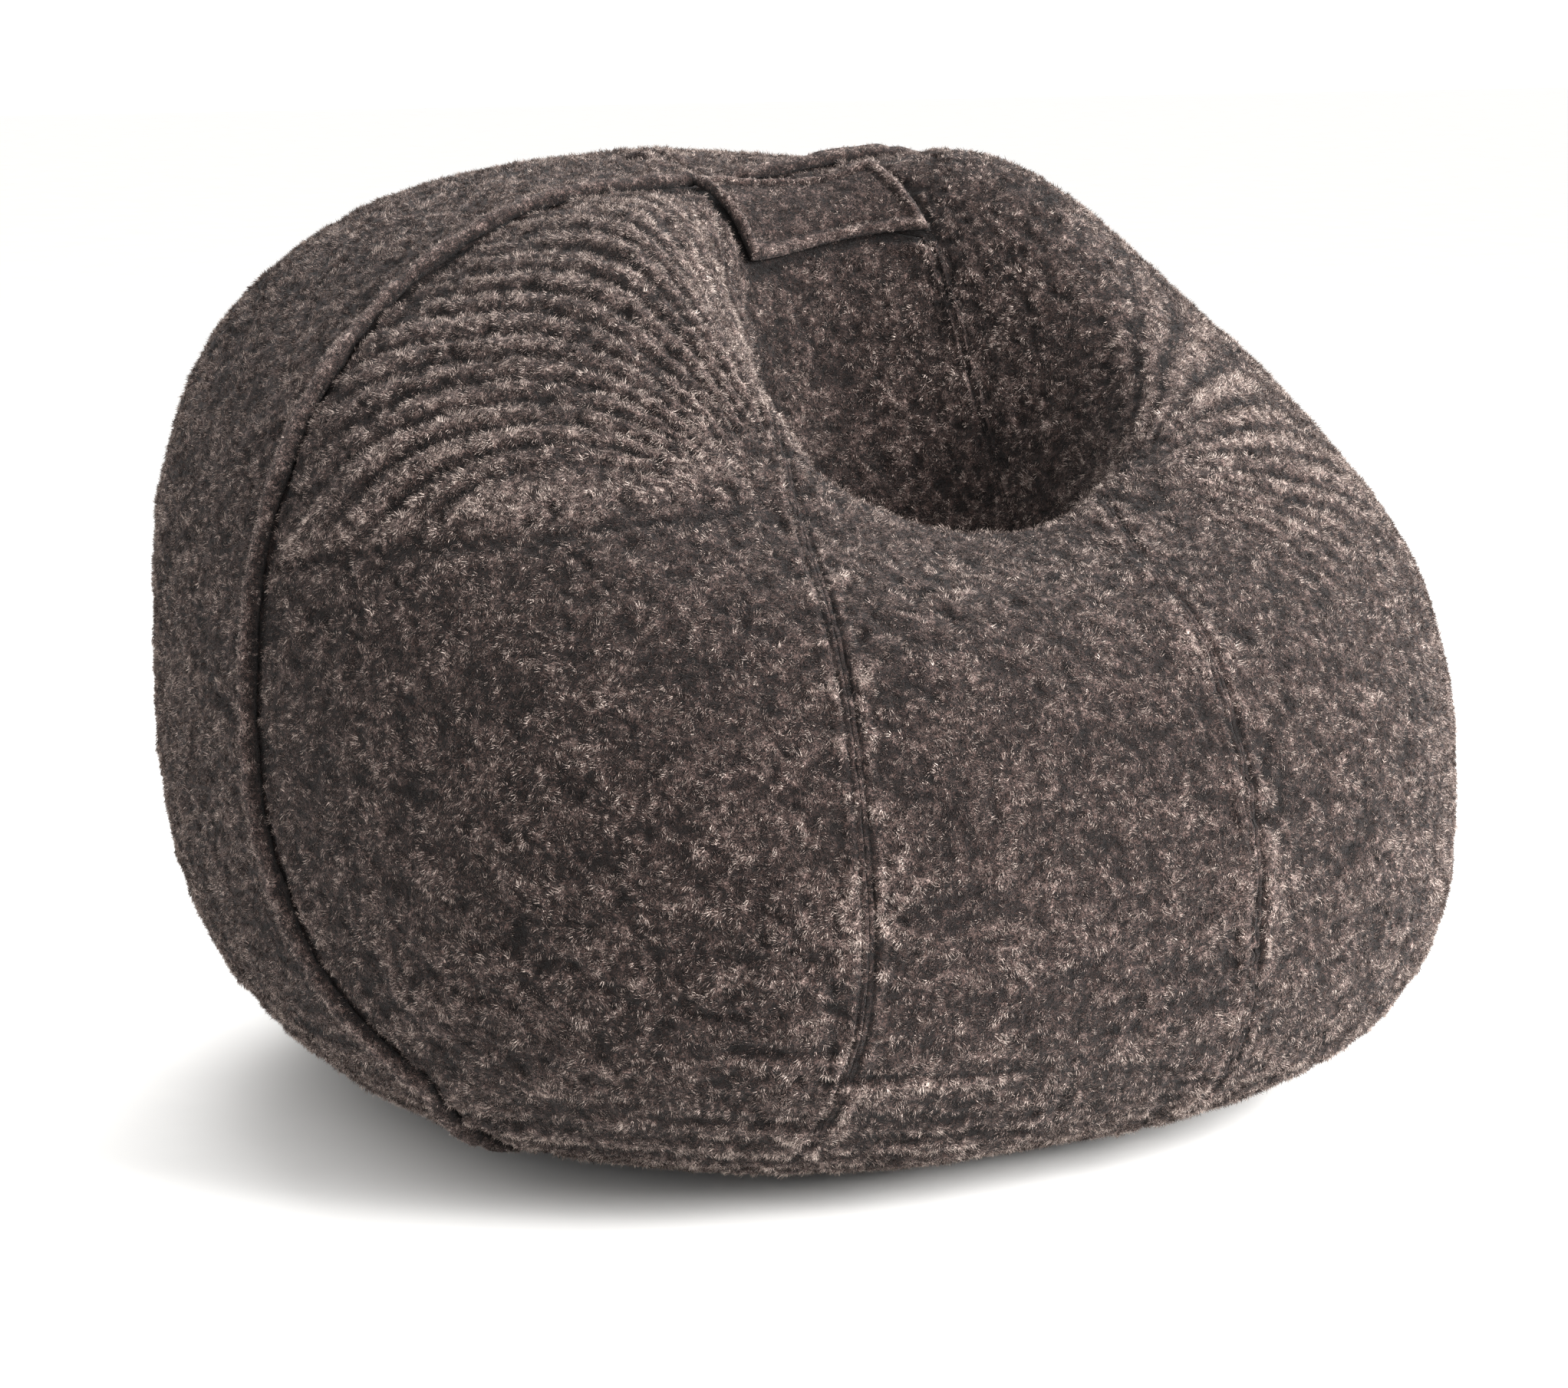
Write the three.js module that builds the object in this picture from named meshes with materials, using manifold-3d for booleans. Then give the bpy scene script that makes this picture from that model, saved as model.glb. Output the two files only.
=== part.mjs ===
// Bean bag chair: a foam-filled bag with a seat pressed into its front, in a removable plush cover.
// Millimetres, +Z up. The sitter faces -Y. The origin is on the floor under the middle of the bag.
// Angles run round the bag from the front (-Y) towards its +X side, in degrees.
import * as THREE from "three";
import { mergeVertices } from "three/addons/utils/BufferGeometryUtils.js";
import Module from "manifold-3d";

// The filled bag
const BAG_WIDTH = 1500;
const BAG_DEPTH = 1440;
const TOP_HEIGHT = 1000;
const TOP_RISE = 75; // the top is this much higher at the back edge, and lower at the front
const BELLY_HEIGHT = 450; // height of the widest line
const BELLY_RISE = 150; // the widest line climbs this much towards the back
const UNDERSIDE_DEPTH = 495; // the underside's full curve, cut off flat by the floor
const PLAN_POWER = 2.3;
const SHOULDER_POWER = 2.5;
const UNDERSIDE_POWER = 3;
const CROWN_Y = 235; // the seams meet this far behind the middle

// The seat that the sitter presses into it
const SEAT = { x: 45, y: -160, left: 195, right: 225, back: 240, front: 180, depth: 420, power: 1.8 };
const SEAT_RIM = { low: 0.4, high: 0.75 }; // the seat only presses above these shares of the height

// Softer presses and swells of the top: middle, reach, and how far it moves up
const SWELLS = {
  rightArm: { x: 450, y: -270, reachX: 240, reachY: 240, rise: -35 },
  rightOfBack: { x: 300, y: 90, reachX: 160, reachY: 190, rise: 80 },
  leftArm: { x: -230, y: -30, reachX: 150, reachY: 170, rise: 45 },
  frontLip: { x: 0, y: -430, reachX: 330, reachY: 160, rise: -115 },
  seatCorner: { x: -80, y: -300, reachX: 80, reachY: 60, rise: -90 },
  leftArmInside: { x: -110, y: -60, reachX: 60, reachY: 120, rise: 90 },
  crownBack: { x: 50, y: 460, reachX: 600, reachY: 240, rise: 32 },
  rightShoulder: { x: 465, y: 70, reachX: 120, reachY: 150, rise: 24 },
};
const SWELL_FADE = { low: 0.1, high: 0.95 };

// Seams from the crown to the floor, in degrees. Some bend away from that angle towards one end: by how
// much, and between which shares of the way, where 0 is the crown, 1 the belly and 2 the floor.
const SEAMS = {
  left: { angle: -80, bend: 18, straight: 0.85, bent: 1.5 },
  frontLeft: { angle: -23, bend: -14, straight: 1, bent: 2 },
  frontRight: { angle: 13, bend: 39, straight: 0.73, bent: 0.28 },
  right: { angle: 100, bend: 0, straight: 1, bent: 2 },
  back: { angle: 185, bend: 0, straight: 1, bent: 2 },
};

// Cover and liner panels, named by where they sit, from one seam to the next
const PANELS = [
  { name: "front_left", from: "left", to: "frontLeft", strips: 8 },
  { name: "front", from: "frontLeft", to: "frontRight", strips: 6 },
  { name: "front_right", from: "frontRight", to: "right", strips: 11 },
  { name: "back_right", from: "right", to: "back", strips: 7 },
  { name: "back_left", from: "back", to: "left", strips: 8 },
];
const COVER_THICKNESS = 9; // plush pile and its knitted backing
const SEAM_GAP = 1;
const LINER_INSET = 12.5;
const LINER_THICKNESS = 1.5;
const FILL_INSET = 19;
const CROWN_START = 0.012; // share of the way from crown to belly where the panels' tips end

// Ridge seams: the two halves' seam allowances, folded over and topstitched
const RIDGES = ["left", "right"];
const RIDGE_WIDTH = 22;
const RIDGE_HEIGHT = 9;
const RIDGE_LIFT = 1.6;
const RIDGE_END = 1.93; // share past the crown, where 1 is the belly and 2 is the floor

// Crown patch: a hemmed rectangle of the cover's plush, sewn down in front of the crown
const PATCH_LEFT = -38;
const PATCH_WIDTH = 226;
const PATCH_TURN = -12; // degrees, seen from above
const PATCH_REACH = 100; // from its sewn top edge to its bottom edge, seen from above
const PATCH_ARCH = 32; // and this much less in the middle, where the back of the seat is steepest
const PATCH_SLIP = 45; // its bottom edge has slipped this much to the right
const PATCH_GAP_TO_CROWN = 16;
const PATCH_THICKNESS = 6;
const PATCH_LIFT = 3.5;

// Base panels and their zip
const BASE_THICKNESS = 8;
const EDGE_GAP = 0.8;
const PIECE_GAP = 0.4;
const ZIP_SLOT = 24; // between the two hems; slotRoom is how far the slot runs past each end of the zip
const PULL_LENGTH = 32;
const COVER_ZIP = { length: 640, y: 0, tapeBottom: BASE_THICKNESS + PIECE_GAP, slotRoom: PULL_LENGTH };
const LINER_ZIP = { length: 460, y: 180, tapeBottom: 14, slotRoom: PIECE_GAP };
const TAPE_WIDTH = 20;
const TAPE_THICKNESS = 0.9;
const TAPE_SPLIT = 2; // half the gap between a zip's two tapes
const ROW_INNER = 1.2; // from the zip's middle to a row of teeth
const ROW_WIDTH = 3;
const ROW_HEIGHT = 2.5;
const SLIDER_LENGTH = 18;
const SLIDER_HALF_WIDTH = 6.4;
const PLATE_THICKNESS = 1.2;
const POST_HALF_WIDTH = 0.9;
const STOP_LENGTH = 5;
const PULL_WIDTH = 8;
const PULL_THICKNESS = 1.2;
const PULL_EYE_RADIUS = 1.6;
const PULL_EYE_HOLE = 0.95;
const BAIL_RADIUS = 0.6;
const BAIL_DROP = 1.95; // from the slider's lower plate down to the bail's middle

// Care label inside the cover, beside its zip
const LABEL = { width: 60, length: 38, thickness: 0.6, x: -210, y: -70 };

const wasm = await Module();
wasm.setup();

const MATERIALS = {
  plush: new THREE.MeshStandardMaterial({ color: 0x554946, roughness: 0.95 }),
  baseCloth: new THREE.MeshStandardMaterial({ color: 0x2e2a29, roughness: 0.9 }),
  linerCloth: new THREE.MeshStandardMaterial({ color: 0xd9d5cc, roughness: 0.8 }),
  foam: new THREE.MeshStandardMaterial({ color: 0xe6dcb8, roughness: 1 }),
  tape: new THREE.MeshStandardMaterial({ color: 0x2b2726, roughness: 0.85 }),
  coil: new THREE.MeshStandardMaterial({ color: 0x262323, roughness: 0.45 }),
  metal: new THREE.MeshStandardMaterial({ color: 0x3b3937, roughness: 0.4, metalness: 0.9 }),
  label: new THREE.MeshStandardMaterial({ color: 0xf0eee8, roughness: 0.7 }),
};

const radians = THREE.MathUtils.degToRad;
const smoothstep = THREE.MathUtils.smoothstep;
const clamp = THREE.MathUtils.clamp;

// Half-width of the bag at its widest line, in one direction.
function bellyRadius(angle) {
  const across = Math.abs(Math.sin(angle) / (BAG_WIDTH / 2)) ** PLAN_POWER;
  const along = Math.abs(Math.cos(angle) / (BAG_DEPTH / 2)) ** PLAN_POWER;
  return (across + along) ** (-1 / PLAN_POWER);
}

// Radius and height of the bag before it leans. Share 0 is the crown, 1 the belly and 2 the floor.
function meridian(angle, share) {
  const radius = bellyRadius(angle);
  if (share <= 1) {
    const tilt = ((1 - share) * Math.PI) / 2;
    const rise = TOP_HEIGHT - BELLY_HEIGHT;
    const across = (Math.cos(tilt) / radius) ** SHOULDER_POWER;
    const up = (Math.sin(tilt) / rise) ** SHOULDER_POWER;
    const reach = (across + up) ** (-1 / SHOULDER_POWER);
    return { r: reach * Math.cos(tilt), z: BELLY_HEIGHT + reach * Math.sin(tilt) };
  }
  const cut = (BELLY_HEIGHT / UNDERSIDE_DEPTH) ** UNDERSIDE_POWER;
  const floorRadius = radius * (1 - cut) ** (1 / UNDERSIDE_POWER);
  const tilt = (share - 1) * Math.atan2(BELLY_HEIGHT, floorRadius);
  const across = (Math.cos(tilt) / radius) ** UNDERSIDE_POWER;
  const down = (Math.sin(tilt) / UNDERSIDE_DEPTH) ** UNDERSIDE_POWER;
  const reach = (across + down) ** (-1 / UNDERSIDE_POWER);
  return { r: reach * Math.cos(tilt), z: BELLY_HEIGHT - reach * Math.sin(tilt) };
}

// How far the seat is pressed in at a place seen from above: 1 at its deepest, 0 outside it.
function seatPress(x, y) {
  const across = (x - SEAT.x) / (x > SEAT.x ? SEAT.right : SEAT.left);
  const along = (y - SEAT.y) / (y > SEAT.y ? SEAT.back : SEAT.front);
  return Math.exp(-((across * across + along * along) ** SEAT.power));
}

// A point of the cover's outside.
function coverPoint(angle, share) {
  const { r, z } = meridian(angle, share);
  const upward = clamp((z - BELLY_HEIGHT) / (TOP_HEIGHT - BELLY_HEIGHT), 0, 1);
  const x = r * Math.sin(angle);
  const y = -r * Math.cos(angle) + CROWN_Y * upward ** 2;
  const lean = y / (BAG_DEPTH / 2);
  const belly = BELLY_HEIGHT + BELLY_RISE * lean;
  const top = TOP_HEIGHT + TOP_RISE * lean;
  let height = z > BELLY_HEIGHT ? belly + upward * (top - belly) : (z * belly) / BELLY_HEIGHT;
  const fade = smoothstep(height / TOP_HEIGHT, SWELL_FADE.low, SWELL_FADE.high);
  const rim = smoothstep(height / TOP_HEIGHT, SEAT_RIM.low, SEAT_RIM.high);
  for (const swell of Object.values(SWELLS)) {
    const across = (x - swell.x) / swell.reachX;
    const along = (y - swell.y) / swell.reachY;
    height += swell.rise * Math.exp(-across * across - along * along) * fade;
  }
  height -= SEAT.depth * seatPress(x, y) * rim;
  return new THREE.Vector3(x, y, height);
}

// The way out of the cover at a point, and the way round it.
function coverFrame(angle, share) {
  const step = 1e-3;
  const low = Math.max(share - step, 1e-4);
  const high = Math.min(share + step, 2);
  const down = coverPoint(angle, high).sub(coverPoint(angle, low));
  const round = coverPoint(angle + step, share).sub(coverPoint(angle - step, share));
  return { out: down.cross(round).normalize(), round: round.normalize() };
}

function insetPoint(angle, share, inset) {
  return coverPoint(angle, share).addScaledVector(coverFrame(angle, share).out, -inset);
}

// Rows of the panels' grids: close together where the seat curves tightly.
function shareRows() {
  const rows = [CROWN_START, 0.08];
  for (let share = 0.14; share < 0.76; share += 0.055) rows.push(share);
  rows.push(0.84, 0.93, 1.04, 1.2, 1.42, 1.66, 1.85, 2);
  return rows;
}
const ROWS = shareRows();

// The angle of a seam at a share of the way from the crown to the floor.
function seamAngle(name, share) {
  const { angle, bend, straight, bent } = SEAMS[name];
  const way = clamp((share - straight) / (bent - straight), 0, 1);
  return radians(angle + bend * way ** 2);
}

// Angles of a panel's columns in one row, from seam to seam.
function panelColumns(panel, share) {
  const from = seamAngle(panel.from, share);
  const turn = THREE.MathUtils.euclideanModulo(seamAngle(panel.to, share) - from, 2 * Math.PI);
  return Array.from({ length: panel.strips + 1 }, (_, i) => from + (turn * i) / panel.strips);
}

// Angles of the columns right round the bag in one row.
function ringColumns(share) {
  return PANELS.flatMap((panel) => panelColumns(panel, share).slice(0, -1));
}

function meshOf(name, geometry, material) {
  const mesh = new THREE.Mesh(geometry, material);
  mesh.name = name;
  return mesh;
}

// A closed solid between two grids of points, facing out on the first.
function solidBetween(outer, inner) {
  const rows = outer.length;
  const columns = outer[0].length;
  const positions = [...outer.flat(), ...inner.flat()].flatMap((p) => [p.x, p.y, p.z]);
  const at = (side, j, i) => side * rows * columns + j * columns + i;
  const index = [];
  const quad = (a, b, c, d) => index.push(a, b, c, b, d, c);
  for (let j = 0; j < rows - 1; j++) {
    for (let i = 0; i < columns - 1; i++) {
      quad(at(0, j, i), at(0, j + 1, i), at(0, j, i + 1), at(0, j + 1, i + 1));
      index.push(at(1, j, i), at(1, j, i + 1), at(1, j + 1, i));
      index.push(at(1, j + 1, i), at(1, j, i + 1), at(1, j + 1, i + 1));
    }
    const last = columns - 1;
    quad(at(1, j, 0), at(1, j + 1, 0), at(0, j, 0), at(0, j + 1, 0));
    // the same diagonal as the first column's wall, so that two walls along a seam stay parallel
    index.push(at(0, j, last), at(0, j + 1, last), at(1, j + 1, last));
    index.push(at(0, j, last), at(1, j + 1, last), at(1, j, last));
  }
  for (let i = 0; i < columns - 1; i++) {
    const last = rows - 1;
    quad(at(1, 0, i), at(0, 0, i), at(1, 0, i + 1), at(0, 0, i + 1));
    quad(at(0, last, i), at(1, last, i), at(0, last, i + 1), at(1, last, i + 1));
  }
  const geometry = new THREE.BufferGeometry();
  geometry.setAttribute("position", new THREE.Float32BufferAttribute(positions, 3));
  geometry.setIndex(index);
  return geometry;
}

// The same columns, with the outer two drawn in from their seams by half the seam gap.
function panelAngles(panel, share) {
  const angles = panelColumns(panel, share);
  const last = panel.strips;
  angles[0] += SEAM_GAP / 2 / meridian(angles[0], share).r;
  angles[last] -= SEAM_GAP / 2 / meridian(angles[last], share).r;
  return angles;
}

// One sewn panel, from the crown down to the edge of the base.
function panelGeometry(panel, inset, thickness) {
  const grid = (depth) =>
    ROWS.map((share) => panelAngles(panel, share).map((angle) => insetPoint(angle, share, depth)));
  return solidBetween(grid(inset), grid(inset + thickness));
}

// The loose foam filling as the one solid that it fills out to.
function fillGeometry() {
  const points = [insetPoint(0, CROWN_START / 4, FILL_INSET)];
  for (const share of ROWS) {
    for (const angle of ringColumns(share)) points.push(insetPoint(angle, share, FILL_INSET));
  }
  const count = ringColumns(2).length;
  const first = 1 + (ROWS.length - 1) * count;
  const bottom = Math.min(...points.slice(first).map((p) => p.z));
  for (const point of points.slice(first)) point.z = bottom;
  points.push(new THREE.Vector3(0, 0, bottom));
  const index = [];
  for (let i = 0; i < count; i++) {
    const next = (i + 1) % count;
    index.push(0, 1 + i, 1 + next);
    for (let j = 0; j < ROWS.length - 1; j++) {
      const row = 1 + j * count;
      const below = row + count;
      index.push(row + i, below + i, row + next, below + i, below + next, row + next);
    }
    index.push(first + i, points.length - 1, first + next);
  }
  const geometry = new THREE.BufferGeometry();
  const positions = points.flatMap((p) => [p.x, p.y, p.z]);
  geometry.setAttribute("position", new THREE.Float32BufferAttribute(positions, 3));
  geometry.setIndex(index);
  return geometry;
}

// A folded ridge along one seam, lying on the cover.
function ridgeGeometry(seam) {
  const side = (lift) =>
    ROWS.filter((share) => share > 2 * CROWN_START && share < RIDGE_END)
      .concat(RIDGE_END)
      .map((share) => {
        const angle = seamAngle(seam, share);
        const { out, round } = coverFrame(angle, share);
        const middle = coverPoint(angle, share).addScaledVector(out, lift);
        return [-0.5, 0.5].map((s) => middle.clone().addScaledVector(round, s * RIDGE_WIDTH));
      });
  return solidBetween(side(RIDGE_LIFT + RIDGE_HEIGHT), side(RIDGE_LIFT));
}

// Height of a panel's outer facets at a place seen from above.
function heightOn(geometries, x, y) {
  const ray = new THREE.Raycaster(new THREE.Vector3(x, y, 2 * TOP_HEIGHT), new THREE.Vector3(0, 0, -1));
  const hits = geometries.flatMap((g) => ray.intersectObject(new THREE.Mesh(g, MATERIALS.plush)));
  return Math.max(...hits.map((hit) => hit.point.z));
}

// The crown patch: a rectangle seen from above, laid over the panels that it's sewn to.
function patchGeometry(covers) {
  const across = 12;
  const along = 7;
  const turn = radians(PATCH_TURN);
  const corner = new THREE.Vector2(PATCH_LEFT, CROWN_Y - PATCH_GAP_TO_CROWN);
  const place = (i, j) => {
    const share = i / across;
    const reach = PATCH_REACH - 4 * PATCH_ARCH * share * (1 - share);
    const right = PATCH_WIDTH * share + (PATCH_SLIP * j) / along;
    const offset = new THREE.Vector2(right, (-reach * j) / along);
    return offset.rotateAround(new THREE.Vector2(), turn).add(corner);
  };
  const rest = [];
  for (let j = 0; j <= along; j++) {
    rest.push([]);
    for (let i = 0; i <= across; i++) {
      const { x, y } = place(i, j);
      rest[j].push(new THREE.Vector3(x, y, heightOn(covers, x, y)));
    }
  }
  const slope = (j, i) => {
    const east = rest[j][Math.min(i + 1, across)].clone().sub(rest[j][Math.max(i - 1, 0)]);
    const south = rest[Math.min(j + 1, along)][i].clone().sub(rest[Math.max(j - 1, 0)][i]);
    return south.cross(east).normalize();
  };
  const raised = (lift) => (row, j) => row.map((p, i) => p.clone().addScaledVector(slope(j, i), lift));
  const layer = (lift) => rest.map(raised(lift));
  return solidBetween(layer(PATCH_LIFT + PATCH_THICKNESS), layer(PATCH_LIFT));
}

// The rim of half a base, inside the panels' lower edge, from one end of its seam to the other.
function baseRim(front, seam, inset) {
  const start = front ? -Math.PI : 0;
  const wrapped = (angle) => THREE.MathUtils.euclideanModulo(angle - start, 2 * Math.PI) + start;
  const ring = ringColumns(2).map(wrapped).sort((a, b) => a - b).map((angle) => {
    const edge = insetPoint(angle, 2, inset);
    const radius = Math.hypot(edge.x, edge.y) - EDGE_GAP;
    return new THREE.Vector2(edge.x, edge.y).setLength(radius);
  });
  const inside = (point) => (front ? point.y < seam : point.y > seam);
  const rim = [];
  ring.forEach((point, i) => {
    const next = ring[(i + 1) % ring.length];
    if (inside(point)) rim.push(point);
    if (inside(point) !== inside(next)) {
      rim.push(point.clone().lerp(next, (seam - point.y) / (next.y - point.y)));
    }
  });
  return rim;
}

// Half of a base: a flat panel, notched along its seam for its half of the zip.
function baseHalfGeometry(front, zip, inset, bottom, thickness) {
  const sign = front ? -1 : 1;
  const seam = zip.y + (sign * PIECE_GAP) / 2;
  const hem = zip.y + (sign * ZIP_SLOT) / 2;
  const reach = -sign * (zip.length / 2 + zip.slotRoom);
  const notch = [
    new THREE.Vector2(reach, seam),
    new THREE.Vector2(reach, hem),
    new THREE.Vector2(-reach, hem),
    new THREE.Vector2(-reach, seam),
  ];
  const shape = new THREE.Shape([...baseRim(front, seam, inset), ...notch]);
  const geometry = new THREE.ExtrudeGeometry(shape, { depth: thickness, bevelEnabled: false });
  return geometry.translate(0, 0, bottom);
}

function boxGeometry(x0, x1, y0, y1, z0, z1) {
  const geometry = new THREE.BoxGeometry(x1 - x0, y1 - y0, z1 - z0);
  return geometry.translate((x0 + x1) / 2, (y0 + y1) / 2, (z0 + z1) / 2);
}

function toSolid(geometry) {
  const bare = geometry.index ? geometry.toNonIndexed() : geometry.clone();
  bare.deleteAttribute("normal");
  bare.deleteAttribute("uv");
  const merged = mergeVertices(bare, 1e-4);
  const vertProperties = merged.attributes.position.array;
  const triVerts = new Uint32Array(merged.index.array);
  return new wasm.Manifold(new wasm.Mesh({ numProp: 3, vertProperties, triVerts }));
}

function joined(geometries) {
  const { vertProperties, triVerts } = geometries
    .map(toSolid)
    .reduce((a, b) => a.add(b))
    .getMesh();
  const geometry = new THREE.BufferGeometry();
  geometry.setAttribute("position", new THREE.Float32BufferAttribute(vertProperties, 3));
  geometry.setIndex(new THREE.BufferAttribute(triVerts, 1));
  return geometry;
}

// Heights of a zip's pieces, from its tapes down: the teeth hang under the tapes' inner edges.
function zipLevels(zip) {
  const rowTop = zip.tapeBottom - 0.3;
  const rowBottom = rowTop - ROW_HEIGHT;
  const plateTop = rowBottom - PIECE_GAP;
  return { rowTop, rowBottom, plateTop, plateBottom: plateTop - PLATE_THICKNESS };
}

// The slider's body, seen along the zip: two plates joined by a post between the rows.
function sliderProfile(zip) {
  const { rowTop, plateTop, plateBottom } = zipLevels(zip);
  const flange = ROW_INNER + ROW_WIDTH + PIECE_GAP;
  const upper = zip.tapeBottom + TAPE_THICKNESS + PIECE_GAP;
  const half = [
    [SLIDER_HALF_WIDTH, plateBottom],
    [SLIDER_HALF_WIDTH, rowTop],
    [flange, rowTop],
    [flange, plateTop],
    [POST_HALF_WIDTH, plateTop],
    [POST_HALF_WIDTH, upper],
    [SLIDER_HALF_WIDTH, upper],
    [SLIDER_HALF_WIDTH, upper + PLATE_THICKNESS],
  ];
  const mirrored = half.map(([y, z]) => [-y, z]).reverse();
  return new THREE.Shape([...half, ...mirrored].map(([y, z]) => new THREE.Vector2(y, z)));
}

// Turns an extrusion of a (y, z) outline so that it runs along +X.
function alongX(geometry) {
  const turn = new THREE.Matrix4().set(0, 0, 1, 0, 1, 0, 0, 0, 0, 1, 0, 0, 0, 0, 0, 1);
  return geometry.applyMatrix4(turn);
}

// Where the slider rests when the zip is closed, against its top stops.
function sliderEnd(zip) {
  return zip.length / 2 - STOP_LENGTH - PIECE_GAP;
}

function bailHeight(zip) {
  return zipLevels(zip).plateBottom - BAIL_DROP;
}

function sliderGeometry(zip, withBail) {
  const end = sliderEnd(zip);
  const body = new THREE.ExtrudeGeometry(sliderProfile(zip), { depth: SLIDER_LENGTH, bevelEnabled: false });
  alongX(body).translate(end - SLIDER_LENGTH, zip.y, 0);
  if (!withBail) return joined([body]);
  const { plateBottom } = zipLevels(zip);
  const middle = end - SLIDER_LENGTH / 2;
  const z = bailHeight(zip);
  const earInner = PULL_WIDTH / 4 + PIECE_GAP;
  const ears = [-1, 1].map((side) => {
    const inner = side * earInner + zip.y;
    const outer = side * (earInner + 1) + zip.y;
    const y0 = Math.min(inner, outer);
    const y1 = Math.max(inner, outer);
    return boxGeometry(middle - 1.2, middle + 1.2, y0, y1, z - BAIL_RADIUS - 0.3, plateBottom + 0.2);
  });
  const bar = new THREE.CylinderGeometry(BAIL_RADIUS, BAIL_RADIUS, 2 * earInner + 1, 12);
  bar.translate(middle, zip.y, z);
  return joined([body, ...ears, bar]);
}

function pullGeometry(zip) {
  const x = sliderEnd(zip) - SLIDER_LENGTH / 2;
  const z = bailHeight(zip);
  const eye = new THREE.Shape();
  eye.absarc(0, 0, PULL_EYE_RADIUS, 0, 2 * Math.PI);
  const hole = new THREE.Path();
  hole.absarc(0, 0, PULL_EYE_HOLE, 0, 2 * Math.PI, true);
  eye.holes.push(hole);
  const eyeWidth = PULL_WIDTH / 2;
  const ring = new THREE.ExtrudeGeometry(eye, { depth: eyeWidth, bevelEnabled: false, curveSegments: 8 });
  ring.rotateX(Math.PI / 2).translate(x, zip.y + eyeWidth / 2, z);
  const low = z - PULL_THICKNESS / 2;
  const high = z + PULL_THICKNESS / 2;
  const neckEnd = x - PULL_LENGTH / 4;
  const neck = boxGeometry(neckEnd, x - 1.25, zip.y - eyeWidth / 2, zip.y + eyeWidth / 2, low, high);
  const tab = new THREE.Shape();
  const radius = PULL_WIDTH / 2;
  tab.absarc(-PULL_LENGTH + radius, 0, radius, Math.PI / 2, (3 * Math.PI) / 2);
  tab.absarc(-PULL_LENGTH / 4, 0, radius, -Math.PI / 2, Math.PI / 2);
  const sheet = { depth: PULL_THICKNESS, bevelEnabled: false, curveSegments: 8 };
  const plate = new THREE.ExtrudeGeometry(tab, sheet);
  plate.translate(x, zip.y, low);
  return joined([ring, neck, plate]);
}

// A whole zip: two tapes, two rows of teeth, its stops and its slider.
function zipMeshes(prefix, zip) {
  const { rowTop, rowBottom } = zipLevels(zip);
  const half = zip.length / 2;
  const outerRow = ROW_INNER + ROW_WIDTH;
  const meshes = [];
  for (const [side, sign] of [["front", -1], ["back", 1]]) {
    const strip = (inner, width, x0, x1, z0, z1) => {
      const ys = [zip.y + sign * inner, zip.y + sign * (inner + width)].sort((a, b) => a - b);
      return boxGeometry(x0, x1, ys[0], ys[1], z0, z1);
    };
    const tapeTop = zip.tapeBottom + TAPE_THICKNESS;
    const tape = strip(TAPE_SPLIT, TAPE_WIDTH, -half, half, zip.tapeBottom, tapeTop);
    meshes.push(meshOf(`${prefix}_zip_tape_${side}`, tape, MATERIALS.tape));
    const rowStart = -half + STOP_LENGTH + PIECE_GAP;
    const row = strip(ROW_INNER, ROW_WIDTH, rowStart, half - STOP_LENGTH - PIECE_GAP, rowBottom, rowTop);
    meshes.push(meshOf(`${prefix}_zip_teeth_${side}`, row, MATERIALS.coil));
    const stop = strip(ROW_INNER, ROW_WIDTH, half - STOP_LENGTH, half, rowBottom, rowTop);
    meshes.push(meshOf(`${prefix}_zip_top_stop_${side}`, stop, MATERIALS.metal));
  }
  const y0 = zip.y - outerRow;
  const bottomStop = boxGeometry(-half, -half + STOP_LENGTH, y0, zip.y + outerRow, rowBottom, rowTop);
  meshes.push(meshOf(`${prefix}_zip_bottom_stop`, bottomStop, MATERIALS.metal));
  return meshes;
}

function labelGeometry() {
  const z = BASE_THICKNESS + PIECE_GAP;
  const x1 = LABEL.x + LABEL.width;
  return boxGeometry(LABEL.x, x1, LABEL.y, LABEL.y + LABEL.length, z, z + LABEL.thickness);
}

function coverMeshes() {
  const gores = PANELS.map((panel) => panelGeometry(panel, 0, COVER_THICKNESS));
  const meshes = gores.map((gore, i) => meshOf(`cover_gore_${PANELS[i].name}`, gore, MATERIALS.plush));
  for (const seam of RIDGES) {
    meshes.push(meshOf(`ridge_seam_${seam}`, ridgeGeometry(seam), MATERIALS.plush));
  }
  meshes.push(meshOf("crown_patch", patchGeometry(gores), MATERIALS.plush));
  for (const side of ["front", "back"]) {
    const half = baseHalfGeometry(side === "front", COVER_ZIP, COVER_THICKNESS, 0, BASE_THICKNESS);
    meshes.push(meshOf(`cover_base_${side}`, half, MATERIALS.baseCloth));
  }
  meshes.push(meshOf("care_label", labelGeometry(), MATERIALS.label));
  meshes.push(...zipMeshes("cover", COVER_ZIP));
  meshes.push(meshOf("cover_zip_slider", sliderGeometry(COVER_ZIP, true), MATERIALS.metal));
  meshes.push(meshOf("cover_zip_pull", pullGeometry(COVER_ZIP), MATERIALS.metal));
  return meshes;
}

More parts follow.
